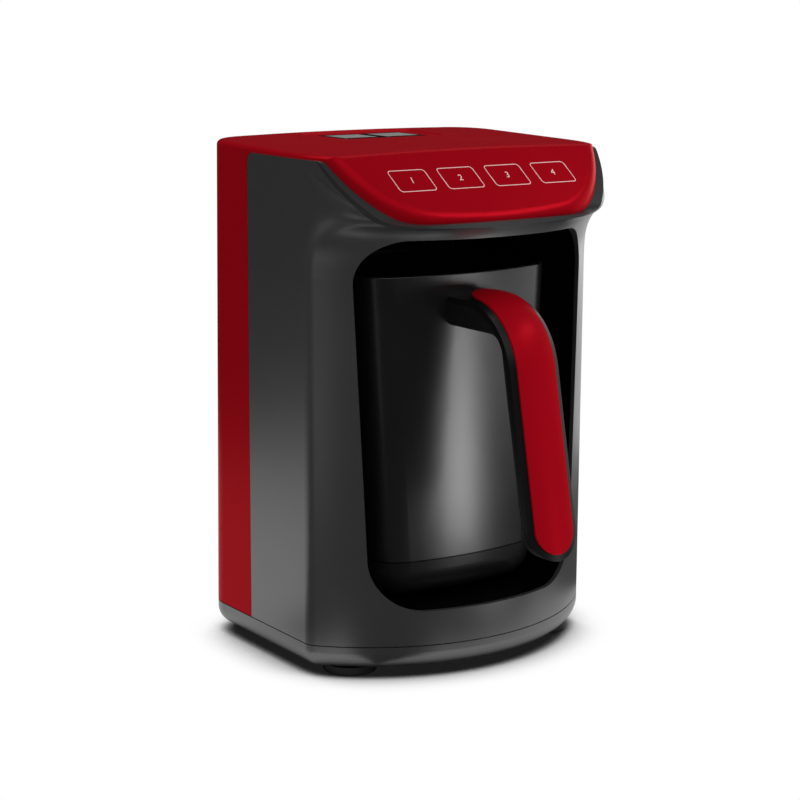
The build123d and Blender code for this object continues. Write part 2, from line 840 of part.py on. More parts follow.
# ---------------------------------------------------------------- electronics
with BuildPart() as sensor_board:
    with BuildSketch(Plane.XY.offset(liner_roof_z + lens_height)):
        with Locations((0, sensor_y)):
            RectangleRounded(sensor_pitch + 2 * sensor_margin, sensor_depth, board_corner)
    extrude(amount=board)
    with BuildSketch(Plane.XY.offset(liner_roof_z + lens_height + board)):
        with Locations((0, sensor_y)):
            with GridLocations(sensor_pitch, 0, 2, 1):
                Rectangle(sensor_size, sensor_size)
            Rectangle(*sensor_chip)
    extrude(amount=sensor_height)
export(sensor_board, "sensor_board")

control_z = liner_roof_z + control_lift
with BuildPart() as control_board:
    with BuildSketch(Plane.XY.offset(control_z)):
        with Locations((0, control_y)):
            RectangleRounded(control_width, control_depth, board_corner)
            with GridLocations(control_hole_x, control_hole_y, 2, 2):
                Circle(screw_radius + fit, mode=Mode.SUBTRACT)
    extrude(amount=board)
    with BuildSketch(Plane.XY.offset(control_z + board)):
        with Locations((chip_x, control_y)):
            Rectangle(chip_size, chip_size)
        with Locations((header_x, control_y)):
            Rectangle(*header_size)
    extrude(amount=chip_height)
export(control_board, "control_board")

with BuildPart() as buzzer:
    with Locations((buzzer_x, control_y, control_z + board)):
        Cylinder(buzzer_radius, buzzer_height, align=lowest)
    with Locations((buzzer_x, control_y, control_z + board + buzzer_height)):
        Hole(buzzer_hole, buzzer_height / 3)
export(buzzer, "buzzer")

with BuildPart() as board_screws:
    with Locations((0, control_y, control_z + board)):
        with GridLocations(control_hole_x, control_hole_y, 2, 2):
            Cylinder(head_radius, head_height, align=lowest)
            Cylinder(screw_radius, board, align=highest)
export(board_screws, "board_screws")

with BuildPart() as touch_board:
    with BuildSketch(panel_plane.offset(-cover_skin)):
        with Locations((0, -board_down)):
            RectangleRounded(board_length, board_depth, board_round)
    extrude(amount=-board)
export(touch_board, "touch_board")

power_z = tray_floor_z + power_lift
with BuildPart() as power_board:
    with BuildSketch(Plane.XY.offset(power_z)):
        with Locations((0, power_y)):
            RectangleRounded(power_width, power_depth, board_corner)
    extrude(amount=board)
    with BuildSketch(Plane.XY.offset(power_z)):
        with Locations((0, power_y)):
            with GridLocations(
                power_width - 2 * power_post_inset[0], power_depth - 2 * power_post_inset[1], 2, 2
            ):
                Circle(post_radius)
    extrude(amount=-power_lift)
export(power_board, "power_board")

with BuildPart() as transformer:
    with Locations((transformer_inset - power_width / 2, power_y, power_z + board)):
        Box(*transformer_core, align=lowest)
        with Locations((0, 0, (transformer_core[2] - transformer_coil[2]) / 2)):
            Box(*transformer_coil, align=lowest)
    fillet(transformer.edges().filter_by(Axis.Z), block_round)
export(transformer, "transformer")

with BuildPart() as heater_relay:
    with Locations((power_width / 2 - relay_inset, power_y, power_z + board)):
        Box(*relay_size, align=lowest)
    fillet(heater_relay.edges().filter_by(Axis.Z), block_round)
export(heater_relay, "heater_relay")

with BuildPart() as cord_gland:
    with Locations(Location((gland_x, gland_y, gland_z), (90, 0, 0))):
        Cylinder(gland_radius, wall + gland_flange)
    with Locations(Location((gland_x, gland_y - wall / 2, gland_z), (90, 0, 0))):
        Cylinder(gland_radius + gland_flange, gland_flange, align=lowest)
        Cylinder(gland_bore, 8 * wall, mode=Mode.SUBTRACT)
export(cord_gland, "cord_gland")

# ---------------------------------------------------------------- keys
with BuildPart() as key_frame:
    with BuildSketch(Plane.XY.offset(side_top_z)):
        with Locations((0, key_y)):
            RectangleRounded(
                keys_wide + 2 * (skirt + frame_rim), key_depth + 2 * (skirt + frame_rim), frame_corner
            )
    extrude(amount=-frame_depth)
    with BuildSketch(Plane.XY.offset(side_top_z)):
        with Locations((0, key_y)):
            Rectangle(keys_wide + 2 * skirt + 2 * slide_fit, key_depth + 2 * skirt + 2 * slide_fit)
    extrude(amount=frame_floor - frame_depth, mode=Mode.SUBTRACT)
export(key_frame, "key_frame")

key_board_z = side_top_z - frame_depth + frame_floor
with BuildPart() as key_board:
    with BuildSketch(Plane.XY.offset(key_board_z)):
        with Locations((0, key_y)):
            Rectangle(keys_wide + 2 * skirt, key_depth + 2 * skirt)
    extrude(amount=board)
export(key_board, "key_board")

with BuildPart() as key_switches:
    with BuildSketch(Plane.XY.offset(key_board_z + board)):
        with Locations((0, key_y)):
            with GridLocations(key_pitch, 0, 2, 1):
                Rectangle(switch_size, switch_size)
    extrude(amount=switch_height)
    with BuildSketch(Plane.XY.offset(key_board_z + board + switch_height)):
        with Locations((0, key_y)):
            with GridLocations(key_pitch, 0, 2, 1):
                Circle(plunger_radius)
    extrude(amount=plunger_height)
export(key_switches, "key_switches")

key_bottom_z = key_top_z - key_height
stem_bottom_z = key_board_z + board + switch_height + plunger_height + key_travel + fit
spring_low_z = key_board_z + board
spring_high_z = key_top_z - cap_height - key_wall
for side, x in (("left", -key_pitch / 2), ("right", key_pitch / 2)):
    with BuildPart() as key:
        with BuildSketch(Plane.XY.offset(key_bottom_z)):
            with Locations((x, key_y)):
                RectangleRounded(key_width, key_depth, key_corner)
        extrude(amount=key_height - cap_sink)
        with BuildSketch(Plane.XY.offset(key_bottom_z)):
            with Locations((x, key_y)):
                Rectangle(key_width, key_depth + 2 * skirt)
        extrude(amount=skirt)
        with BuildSketch(Plane.XY.offset(key_bottom_z)):
            with Locations((x, key_y)):
                Rectangle(key_width - 2 * key_wall, key_depth - 2 * key_wall)
        extrude(amount=spring_high_z - key_bottom_z, mode=Mode.SUBTRACT)
        with BuildSketch(Plane.XY.offset(key_top_z - cap_height)):
            with Locations((x, key_y)):
                RectangleRounded(key_width - 2 * key_wall, key_depth - 2 * key_wall, key_corner)
        extrude(amount=cap_height, mode=Mode.SUBTRACT)
        with BuildSketch(Plane.XY.offset(stem_bottom_z)):
            with Locations((x, key_y)):
                Circle(stem_radius)
        extrude(amount=spring_high_z - stem_bottom_z)
    export(key, f"key_{side}")
    with BuildPart() as key_cap:
        with BuildSketch(Plane.XY.offset(key_top_z - cap_height)):
            with Locations((x, key_y)):
                RectangleRounded(
                    key_width - 2 * key_wall - fit, key_depth - 2 * key_wall - fit, key_corner
                )
        extrude(amount=cap_height)
        chamfer(key_cap.edges().group_by(Axis.Z)[-1], cap_edge)
    export(key_cap, f"key_cap_{side}")
    with BuildPart() as key_spring:
        with BuildLine(Plane.XY.offset(spring_low_z + spring_wire)) as coil:
            Helix(
                (spring_high_z - spring_low_z - 2 * spring_wire) / spring_turns,
                spring_high_z - spring_low_z - 2 * spring_wire,
                spring_radius,
                center=(x, key_y, 0),
            )
        with BuildSketch(Plane(origin=coil.line @ 0, z_dir=coil.line % 0)):
            RegularPolygon(spring_wire, 6)
        sweep(is_frenet=True)
    export(key_spring, f"key_spring_{side}")

# ---------------------------------------------------------------- jug
with BuildPart() as jug_shell:
    jug_form(jug_seam_z + jug_seam_gap / 2, jug_top_z)
    fillet(jug_shell.edges().group_by(Axis.Z)[-1], jug_edge)
    jug_form(jug_seam_z + jug_seam_gap / 2, jug_top_z, jug_wall, Mode.SUBTRACT)
    with Locations(*[Location((0, jug_front_y, z), (90, 0, 0)) for z in handle_screw_zs]):
        Cylinder(screw_radius + thread_fit, 4 * jug_wall, mode=Mode.SUBTRACT)
export(jug_shell, "jug_shell")

vessel_top_z = jug_top_z - vessel_drop
with BuildPart() as vessel_space:
    jug_form(vessel_floor_z + vessel_wall, jug_top_z, jug_wall + air_gap + vessel_wall)
    fillet(vessel_space.edges().group_by(Axis.Z)[0], vessel_round)

with BuildPart() as jug_vessel:
    jug_form(vessel_floor_z, vessel_top_z, jug_wall + air_gap)
    fillet(jug_vessel.edges().group_by(Axis.Z)[0], vessel_round + vessel_wall)
    jug_form(vessel_top_z - vessel_wall, vessel_top_z, jug_wall + seat_gap)
    add(vessel_space.part, mode=Mode.SUBTRACT)
export(jug_vessel, "jug_vessel")

with BuildPart() as cup_hollow:
    jug_form(jug_bottom_z + cup_wall, jug_seam_z, cup_wall)
    fillet(cup_hollow.edges().group_by(Axis.Z)[0], cup_round - cup_wall)

with BuildPart() as jug_base:
    jug_form(jug_bottom_z, jug_seam_z - jug_seam_gap / 2)
    fillet(jug_base.edges().group_by(Axis.Z)[0], cup_round)
    add(cup_hollow.part, mode=Mode.SUBTRACT)
    with BuildSketch(Plane.XY.offset(jug_bottom_z)):
        with Locations((0, jug_y)):
            Circle(plug_radius + fit)
    extrude(amount=cup_wall, mode=Mode.SUBTRACT)
export(jug_base, "jug_base")

with BuildPart() as jug_seal:
    jug_form(jug_seam_z - jug_seam_gap / 2, jug_seam_z + jug_seam_gap / 2, seal_inset)
    jug_form(jug_seam_z - jug_seam_gap / 2, jug_seam_z + jug_seam_gap / 2, jug_wall, Mode.SUBTRACT)
export(jug_seal, "jug_seal")

element_z = vessel_floor_z - heater_height
with BuildPart() as heater_plate:
    with BuildSketch(Plane.XY.offset(element_z)):
        with Locations((0, jug_y)):
            Circle(heater_radius)
    extrude(amount=heater_height)
    with BuildSketch(Plane.XZ.offset(-jug_y)):
        with Locations((element_radius, element_z)):
            Circle(element_tube)
    revolve(axis=Axis((0, jug_y, 0), (0, 0, 1)), mode=Mode.SUBTRACT)
export(heater_plate, "heater_plate")

with BuildPart() as heating_element:
    with BuildSketch(Plane.XZ.offset(-jug_y)):
        with Locations((element_radius, element_z)):
            Circle(element_tube)
    revolve(axis=Axis((0, jug_y, 0), (0, 0, 1)), revolution_arc=element_arc)
export(heating_element, "heating_element")

with BuildPart() as thermostat:
    with Locations((0, jug_y, element_z)):
        Cylinder(thermostat_radius, thermostat_height, align=highest)
    with Locations((0, jug_y, element_z - thermostat_height)):
        Cylinder(stud_radius, stud_height, align=highest)
export(thermostat, "thermostat")

with BuildPart() as jug_plug:
    with BuildSketch(Plane.XY.offset(jug_bottom_z + plug_recess)):
        with Locations((0, jug_y)):
            Circle(plug_radius)
    extrude(amount=cup_wall - plug_recess)
    with BuildSketch(Plane.XY.offset(jug_bottom_z + cup_wall)):
        with Locations((0, jug_y)):
            Circle(plug_radius + plug_flange)
    extrude(amount=plug_height - cup_wall)
    with BuildSketch(Plane.XY.offset(jug_bottom_z + plug_height)):
        with Locations((0, jug_y)):
            Circle(neck_radius)
    extrude(amount=element_z - thermostat_height - stud_height - jug_bottom_z - plug_height)
export(jug_plug, "jug_plug")


# ---------------------------------------------------------------- handle
def lean_y(z):
    """Where the grip's outer face lies at a height."""
    return handle_lean_y - (handle_lean_z - z) * tan(lean)


handle_start_y = jug_front_y + handle_bite
handle_low_z = handle_end_z - handle_bite
arm_low_z = handle_top_z - handle_root
grip_depth = handle_thick / cos(lean)


def crowned(near, far, half, edge_round=0.0, mode=Mode.ADD):
    """Adds a strip that follows the handle's outer face between two depths, crowned across its width."""
    start = (0, handle_start_y, handle_top_z)
    sag = handle_crown - sqrt(handle_crown**2 - half**2)
    with BuildLine() as path:
        FilletPolyline(
            start,
            (0, lean_y(handle_top_z), handle_top_z),
            (0, lean_y(handle_low_z), handle_low_z),
            radius=handle_turn,
        )
    with BuildSketch(Plane(origin=start, x_dir=(1, 0, 0), z_dir=(0, -1, 0))) as section:
        with BuildLine() as outline:
            ThreePointArc((-half, -near - sag), (0, -near), (half, -near - sag))
            Line((half, -near - sag), (half, -far - sag))
            ThreePointArc((half, -far - sag), (0, -far), (-half, -far - sag))
            Line((-half, -far - sag), (-half, -near - sag))
        make_face(outline.edges())
        if edge_round:
            outer = section.vertices().filter_by(lambda corner: corner.Z > handle_top_z - near - sag - 0.1)
            fillet(outer, edge_round)
    sweep(section.sketch, path=path.line, mode=mode)


def arm_side():
    """Adds the handle's side view: deep where it meets the jug, thinner down the grip."""
    with BuildLine() as outline:
        FilletPolyline(
            (handle_start_y, handle_top_z),
            (lean_y(handle_top_z), handle_top_z),
            (lean_y(handle_low_z), handle_low_z),
            radius=handle_turn,
        )
        FilletPolyline(
            (handle_start_y, arm_low_z),
            (lean_y(arm_low_z) + grip_depth, arm_low_z),
            (lean_y(handle_low_z) + grip_depth, handle_low_z),
            radius=handle_inner_turn,
        )
        Line((handle_start_y, handle_top_z), (handle_start_y, arm_low_z))
        Line((lean_y(handle_low_z), handle_low_z), (lean_y(handle_low_z) + grip_depth, handle_low_z))
    make_face(outline.edges())


def on_inside(edge):
    """Whether an edge runs along the side of the handle that the fingers close on."""
    middle = edge.center()
    on_arm = abs(middle.Z - arm_low_z) < handle_inner_turn and middle.Y > lean_y(middle.Z) + grip_depth - 0.1
    on_grip = abs(middle.Y - lean_y(middle.Z) - grip_depth) < 0.1
    return (on_arm or on_grip) and abs(middle.X) > handle_half / 2


def blade(half):
    """Adds the handle's front view to the open sketch: parallel sides and a round lower end."""
    centre_z = handle_end_z + handle_half
    with Locations((0, centre_z)):
        Circle(half)
        Rectangle(2 * half, reach, align=(Align.CENTER, Align.MIN))


def trim_to_blade(half):
    """Trims the open part to the handle's front view."""
    with BuildSketch(Plane.XZ) as front:
        blade(half)
    extrude(front.sketch, amount=reach, both=True, mode=Mode.INTERSECT)


def grip_form(near, grow):
    """Adds the red inlay's form to the open part, from the given depth down to its seat."""
    half = grip_half + grow
    crowned(near, grip_sink, half)
    trim_to_blade(half)
    with BuildSketch(Plane.XY) as top:
        with Locations((0, grip_start_y - grip_half)):
            Circle(half)
            Rectangle(2 * half, reach, align=(Align.CENTER, Align.MAX))
    extrude(top.sketch, amount=reach, mode=Mode.INTERSECT)


with BuildPart() as handle_body:
    with BuildSketch(Plane.YZ):
        arm_side()
    extrude(amount=handle_half, both=True)
    fillet(handle_body.edges().filter_by(on_inside), handle_round)
    crowned(-handle_half, frame_skin, handle_half + fit, mode=Mode.SUBTRACT)
    trim_to_blade(handle_half)
    jug_form(jug_seam_z + jug_seam_gap / 2, jug_top_z, mode=Mode.SUBTRACT)
    with Locations(*[Location((0, jug_front_y + jug_wall, z), (90, 0, 0)) for z in handle_screw_zs]):
        Cylinder(screw_radius + thread_fit, handle_screw_length, align=lowest, mode=Mode.SUBTRACT)
export(handle_body, "handle_body")

with BuildPart() as grip_pocket:
    grip_form(-grip_proud - 1, seat_gap)

with BuildPart() as handle_frame:
    crowned(0, frame_skin, handle_half, frame_round)
    trim_to_blade(handle_half)
    jug_form(jug_seam_z + jug_seam_gap / 2, jug_top_z, mode=Mode.SUBTRACT)
    add(grip_pocket.part, mode=Mode.SUBTRACT)
export(handle_frame, "handle_frame")

with BuildPart() as handle_grip:
    grip_form(-grip_proud, 0.0)
export(handle_grip, "handle_grip")

with BuildPart() as handle_screws:
    head_y = jug_front_y + jug_wall + thread_fit
    with Locations(*[Location((0, head_y, z), (90, 0, 0)) for z in handle_screw_zs]):
        Cylinder(head_radius, air_gap - fit, align=highest)
        Cylinder(screw_radius, handle_screw_length - 1, align=lowest)
export(handle_screws, "handle_screws")
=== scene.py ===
"""Finishes of the electric Turkish coffee maker: plastics, metals, printed touch fields, stage and camera."""

import math
from typing import NamedTuple

import bmesh
import bpy
from bpy.props import FloatProperty, FloatVectorProperty, IntProperty, PointerProperty
from mathutils import Matrix, Vector


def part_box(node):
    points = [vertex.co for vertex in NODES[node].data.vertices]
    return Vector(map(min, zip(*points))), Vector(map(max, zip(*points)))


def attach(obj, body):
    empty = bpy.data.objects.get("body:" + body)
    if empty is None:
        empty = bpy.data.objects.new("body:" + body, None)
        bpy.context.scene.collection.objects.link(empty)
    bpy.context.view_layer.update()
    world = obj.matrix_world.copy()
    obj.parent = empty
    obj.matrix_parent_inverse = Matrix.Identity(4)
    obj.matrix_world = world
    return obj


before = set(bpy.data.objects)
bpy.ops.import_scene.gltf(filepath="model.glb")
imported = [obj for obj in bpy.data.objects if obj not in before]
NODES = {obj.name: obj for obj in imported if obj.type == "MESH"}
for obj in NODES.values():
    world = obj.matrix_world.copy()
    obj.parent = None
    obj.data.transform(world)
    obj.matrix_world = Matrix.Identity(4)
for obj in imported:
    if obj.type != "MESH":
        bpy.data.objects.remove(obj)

bl_info = {
    "name": "Turkish coffee maker finishes",
    "version": (1, 0, 0),
    "blender": (4, 5, 0),
    "location": "View3D > Sidebar > Coffee Maker",
    "description": "Dresses the coffee maker's parts and sets them on a plain stage",
    "category": "Object",
}

MM = 0.001

# ---------------------------------------------------------------- tilted panel, placed from the frame
PANEL_SLOPE = math.radians(45.5)
CREASE_AHEAD = 1.5 * MM
CREASE_RISE = 3.3 * MM
_, HOUSING_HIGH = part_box("front_housing")
PLATE_LOW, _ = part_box("top_plate")
CREASE_Y = PLATE_LOW.y - CREASE_AHEAD
CREASE_Z = HOUSING_HIGH.z + CREASE_RISE

# ---------------------------------------------------------------- surfaces
GRAIN_DEPTH = 0.02 * MM
SMOOTH_GRAIN = 2600.0
SHADE_CHANGE = 0.05
COAT_ROUGHNESS = 0.12
LINE_DEPTH = 0.01 * MM
LINE_BUMP = 0.15
FINE_BRUSH = (900.0, 900.0, 900.0)

# ---------------------------------------------------------------- pieces
BOARDS = ("control_board", "touch_board", "sensor_board", "power_board", "key_board")
# Width of the black band round a key's top: partly the key's own black walls, partly painted shade in the
# dish.
KEY_BORDER = (1.1 * MM, 3.2 * MM)
CORNER_STEPS = 8

# Sockets of a colour Mix node, whose names are shared by its other kinds.
MIX_FIRST, MIX_SECOND, MIX_RESULT = 6, 7, 2


# ---------------------------------------------------------------- cards, softboxes and floor
class FloorCard(NamedTuple):
    """A dark card that lies just above the floor, turned by some degrees."""

    name: str
    width: float
    depth: float
    x: float
    y: float
    height: float
    turn: float = 0.0


class StandingCard(NamedTuple):
    """A dark card that stands or hangs and faces a target."""

    name: str
    width: float
    height: float
    place: tuple
    target: tuple


class Softbox(NamedTuple):
    """A rectangular lamp that looks at a target, with its power in watts."""

    name: str
    place: tuple
    target: tuple
    width: float
    height: float
    power: float


FLOOR_CARDS = (
    FloorCard("card_front_floor", width=0.8, depth=1.6, x=0.15, y=-0.885, height=0.4 * MM),
    FloorCard("card_corner_floor", width=1.7, depth=1.6, x=-0.408, y=-1.1425, height=0.6 * MM, turn=29.4),
    FloorCard("card_back_floor", width=2.6, depth=1.7, x=-0.77, y=1.13, height=0.4 * MM, turn=34.6),
    FloorCard("card_right_floor", width=0.32, depth=0.34, x=0.30, y=0.08, height=0.4 * MM),
    FloorCard("card_left_floor", width=0.36, depth=0.26, x=-0.30, y=-0.055, height=0.8 * MM),
    FloorCard("card_far_left_floor", width=0.58, depth=0.62, x=-0.71, y=0.11, height=0.8 * MM),
)
STANDING_CARDS = (
    StandingCard("card_behind", width=3.8, height=1.4, place=(0.0, 1.2, 0.7), target=(0.0, 0.0, 0.7)),
    StandingCard("card_above", width=1.5, height=1.5, place=(0.75, -0.2, 1.25), target=(0.0, 0.0, 0.2)),
    StandingCard("card_left", width=2.7, height=1.2, place=(-1.0, 0.0, 0.6), target=(0.0, 0.0, 0.6)),
    StandingCard("card_right_front", width=1.5, height=0.9, place=(0.75, -1.1, 0.45), target=(0, 0, 0.45)),
    StandingCard("card_front", width=1.8, height=0.9, place=(-0.3, -1.5, 0.45), target=(-0.3, 0.0, 0.45)),
)
SOFTBOXES = (
    Softbox("floor_strip_softbox", (0.295, -0.51, 0.06), (0.257, -0.45, 0.55), 0.08, 0.72, power=1.2),
    Softbox("panel_softbox", (0.26, -0.25, 0.53), (0.0, -0.045, 0.24), 0.25, 0.1, power=0.45),
    Softbox("top_softbox", (-0.3, 0.2, 1.3), (0.0, 0.0, 0.25), 0.8, 0.8, power=4.8),
    Softbox("right_softbox", (1.0, 0.25, 0.3), (0.0, 0.0, 0.14), 0.5, 0.5, power=1.4),
)
FLOOR_SIZE = 12.0
SHADOW_TONE = 0.012
SHADOW_CORE = 0.30
SHADOW_RIM = 0.80
SHADOW_SAMPLES = 16
SENSOR_WIDTH = 36.0


# ---------------------------------------------------------------- settings
class FinishSettings(bpy.types.PropertyGroup):
    """Colours and gloss of the visible plastics and metals."""

    red: FloatVectorProperty(
        name="Red",
        description="Colour of the red shell, cover and grip",
        subtype="COLOR",
        size=3,
        default=(0.365, 0.0025, 0.009),
    )
    red_roughness: FloatProperty(
        name="Red roughness",
        description="Roughness of the red plastic",
        default=0.32,
        subtype="FACTOR",
    )
    red_glint: FloatVectorProperty(
        name="Red glint",
        description="Colour of the reflections on the red plastic",
        subtype="COLOR",
        size=3,
        default=(1.0, 0.12, 0.15),
    )
    charcoal: FloatVectorProperty(
        name="Charcoal",
        description="Colour of the charcoal housing",
        subtype="COLOR",
        size=3,
        default=(0.15, 0.15, 0.151),
    )
    charcoal_roughness: FloatProperty(
        name="Charcoal roughness",
        description="Roughness of the charcoal housing",
        default=0.36,
        subtype="FACTOR",
    )
    # Darker than the charcoal: painted shade on the band under the panel's edge.
    bezel: FloatVectorProperty(
        name="Bezel",
        description="Colour of the band under the panel",
        subtype="COLOR",
        size=3,
        default=(0.04, 0.04, 0.041),
    )
    black: FloatVectorProperty(
        name="Black",
        description="Colour of the gloss-black jug bay",
        subtype="COLOR",
        size=3,
        default=(0.0012, 0.0012, 0.0013),
    )
    jug: FloatVectorProperty(
        name="Jug",
        description="Colour of the jug's coated shell",
        subtype="COLOR",
        size=3,
        default=(0.10, 0.10, 0.101),
    )
    key_grey: FloatVectorProperty(
        name="Key grey",
        description="Colour of the keys' tops",
        subtype="COLOR",
        size=3,
        default=(0.30, 0.31, 0.30),
    )
    print_colour: FloatVectorProperty(
        name="Print",
        description="Colour of the printed touch fields",
        subtype="COLOR",
        size=3,
        default=(0.85, 0.55, 0.52),
    )


class FieldSettings(bpy.types.PropertyGroup):
    """Printed touch fields on the tilted panel."""

    count: IntProperty(
        name="Fields",
        description="Number of touch fields",
        default=4,
        min=1,
        max=8,
    )
    width: FloatProperty(
        name="Width",
        description="Width of a field's frame",
        default=22.0 * MM,
        unit="LENGTH",
    )
    height: FloatProperty(
        name="Height",
        description="Height of a field's frame along the panel",
        default=13.5 * MM,
        unit="LENGTH",
    )
    pitch: FloatProperty(
        name="Pitch",
        description="Distance from one field to the next",
        default=29.03 * MM,
        unit="LENGTH",
    )
    down: FloatProperty(
        name="Down",
        description="Centre of the fields, down the panel from the crease",
        default=18.5 * MM,
        unit="LENGTH",
    )
    lean: FloatProperty(
        name="Lean",
        description="How far a field's top leans to the left",
        default=1.2 * MM,
        unit="LENGTH",
    )
    corner: FloatProperty(
        name="Corner",
        description="Corner radius of a field's frame",
        default=2.0 * MM,
        unit="LENGTH",
    )
    line: FloatProperty(
        name="Line",
        description="Width of the printed line",
        default=0.42 * MM,
        unit="LENGTH",
    )
    ink: FloatProperty(
        name="Ink",
        description="Thickness of the ink",
        default=0.04 * MM,
        unit="LENGTH",
    )
    digit: FloatProperty(
        name="Digit",
        description="Height of the printed numbers",
        default=5.2 * MM,
        unit="LENGTH",
    )


class StageSettings(bpy.types.PropertyGroup):
    """Floor, cards, lights and camera."""

    floor: FloatVectorProperty(
        name="Floor",
        description="Colour of the floor",
        subtype="COLOR",
        size=3,
        default=(0.82, 0.82, 0.82),
    )
    shadow_reach: FloatProperty(
        name="Shadow reach",
        description="How far the contact shadow spreads",
        default=46.0 * MM,
        unit="LENGTH",
    )
    ambient: FloatProperty(
        name="Ambient",
        description="Strength of the light from all round",
        default=0.55,
    )
    card: FloatVectorProperty(
        name="Card",
        description="Colour of the dark cards",
        subtype="COLOR",
        size=3,
        default=(0.03, 0.03, 0.03),
    )
    camera_place: FloatVectorProperty(
        name="Camera",
        description="Where the camera stands",
        size=3,
        default=(-0.61514, -0.85292, 0.34706),
    )
    camera_turn: FloatProperty(
        name="Turn",
        description="Camera's turn to the right of straight ahead",
        default=math.radians(34.61),
        unit="ROTATION",
    )
    camera_down: FloatProperty(
        name="Down",
        description="Camera's tilt below the horizon",
        default=math.radians(11.533),
        unit="ROTATION",
    )
    camera_roll: FloatProperty(
        name="Roll",
        description="Camera's roll",
        default=math.radians(0.287),
        unit="ROTATION",
    )
    camera_lens: FloatProperty(
        name="Lens",
        description="Focal length in millimetres",
        default=92.55,
    )


# ---------------------------------------------------------------- node helpers
def new_group(name, inputs, outputs):
    """An empty shader node group with the given sockets."""
    group = bpy.data.node_groups.new(name, "ShaderNodeTree")
    for socket, kind, value in inputs:
        made = group.interface.new_socket(name=socket, in_out="INPUT", socket_type=kind)
        made.default_value = value
    for socket, kind in outputs:
        group.interface.new_socket(name=socket, in_out="OUTPUT", socket_type=kind)
    return group


def add_node(tree, kind, place, **settings):
    """Adds a node at a place in the tree and sets what is given."""
    node = tree.nodes.new(kind)
    node.location = place
    for key, value in settings.items():
        setattr(node, key, value)
    return node


def moulded_grain():
    """Fine moulded texture: a height for a bump and a small change of roughness and shade."""
    name = "Moulded grain"
    if name in bpy.data.node_groups:
        return bpy.data.node_groups[name]
    group = new_group(
        name,
        [
            ("Grain scale", "NodeSocketFloat", 2200.0),
            ("Roughness", "NodeSocketFloat", 0.4),
            ("Roughness change", "NodeSocketFloat", 0.06),
            ("Colour", "NodeSocketColor", (0.5, 0.5, 0.5, 1.0)),
            ("Shade change", "NodeSocketFloat", 0.05),
        ],
        [
            ("Height", "NodeSocketFloat"),
            ("Roughness", "NodeSocketFloat"),
            ("Colour", "NodeSocketColor"),
        ],
    )
    ends = add_node(group, "NodeGroupInput", (-900, 0))
    out = add_node(group, "NodeGroupOutput", (500, 0))
    place = add_node(group, "ShaderNodeTexCoord", (-900, -260))
    fine = add_node(group, "ShaderNodeTexNoise", (-600, 100))
    fine.inputs["Detail"].default_value = 3.0
    fine.inputs["Roughness"].default_value = 0.6
    cloud = add_node(group, "ShaderNodeTexNoise", (-600, -300))
    cloud.inputs["Scale"].default_value = 38.0
    cloud.inputs["Detail"].default_value = 2.0
    group.links.new(place.outputs["Object"], fine.inputs["Vector"])
    group.links.new(place.outputs["Object"], cloud.inputs["Vector"])
    group.links.new(ends.outputs["Grain scale"], fine.inputs["Scale"])
    centred = add_node(group, "ShaderNodeMath", (-380, -300), operation="SUBTRACT")
    centred.inputs[1].default_value = 0.5
    group.links.new(cloud.outputs["Fac"], centred.inputs[0])
    swing = add_node(group, "ShaderNodeMath", (-180, -200), operation="MULTIPLY_ADD")
    group.links.new(centred.outputs[0], swing.inputs[0])
    group.links.new(ends.outputs["Roughness change"], swing.inputs[1])
    group.links.new(ends.outputs["Roughness"], swing.inputs[2])
    tone = add_node(group, "ShaderNodeMath", (-180, -420), operation="MULTIPLY_ADD")
    tone.inputs[2].default_value = 1.0
    group.links.new(centred.outputs[0], tone.inputs[0])
    group.links.new(ends.outputs["Shade change"], tone.inputs[1])
    shade = add_node(group, "ShaderNodeVectorMath", (60, -360), operation="SCALE")
    group.links.new(ends.outputs["Colour"], shade.inputs[0])
    group.links.new(tone.outputs[0], shade.inputs["Scale"])
    group.links.new(fine.outputs["Fac"], out.inputs["Height"])
    group.links.new(swing.outputs[0], out.inputs["Roughness"])
    group.links.new(shade.outputs[0], out.inputs["Colour"])
    return group


def brushed_lines():
    """Fine lines that run round a metal part: a height and a roughness."""
    name = "Brushed lines"
    if name in bpy.data.node_groups:
        return bpy.data.node_groups[name]
    group = new_group(
        name,
        [
            ("Stretch", "NodeSocketVector", (40.0, 40.0, 4000.0)),
            ("Roughness", "NodeSocketFloat", 0.3),
            ("Roughness change", "NodeSocketFloat", 0.1),
        ],
        [("Height", "NodeSocketFloat"), ("Roughness", "NodeSocketFloat")],
    )
    ends = add_node(group, "NodeGroupInput", (-900, 0))
    out = add_node(group, "NodeGroupOutput", (300, 0))
    place = add_node(group, "ShaderNodeTexCoord", (-900, -260))
    scaled = add_node(group, "ShaderNodeVectorMath", (-650, 0), operation="MULTIPLY")
    group.links.new(place.outputs["Object"], scaled.inputs[0])
    group.links.new(ends.outputs["Stretch"], scaled.inputs[1])
    lines = add_node(group, "ShaderNodeTexNoise", (-430, 0))
    lines.inputs["Scale"].default_value = 1.0
    lines.inputs["Detail"].default_value = 4.0
    group.links.new(scaled.outputs[0], lines.inputs["Vector"])
    centred = add_node(group, "ShaderNodeMath", (-200, -150), operation="SUBTRACT")
    centred.inputs[1].default_value = 0.5
    group.links.new(lines.outputs["Fac"], centred.inputs[0])
    swing = add_node(group, "ShaderNodeMath", (20, -100), operation="MULTIPLY_ADD")
    group.links.new(centred.outputs[0], swing.inputs[0])
    group.links.new(ends.outputs["Roughness change"], swing.inputs[1])
    group.links.new(ends.outputs["Roughness"], swing.inputs[2])
    group.links.new(lines.outputs["Fac"], out.inputs["Height"])
    group.links.new(swing.outputs[0], out.inputs["Roughness"])
    return group


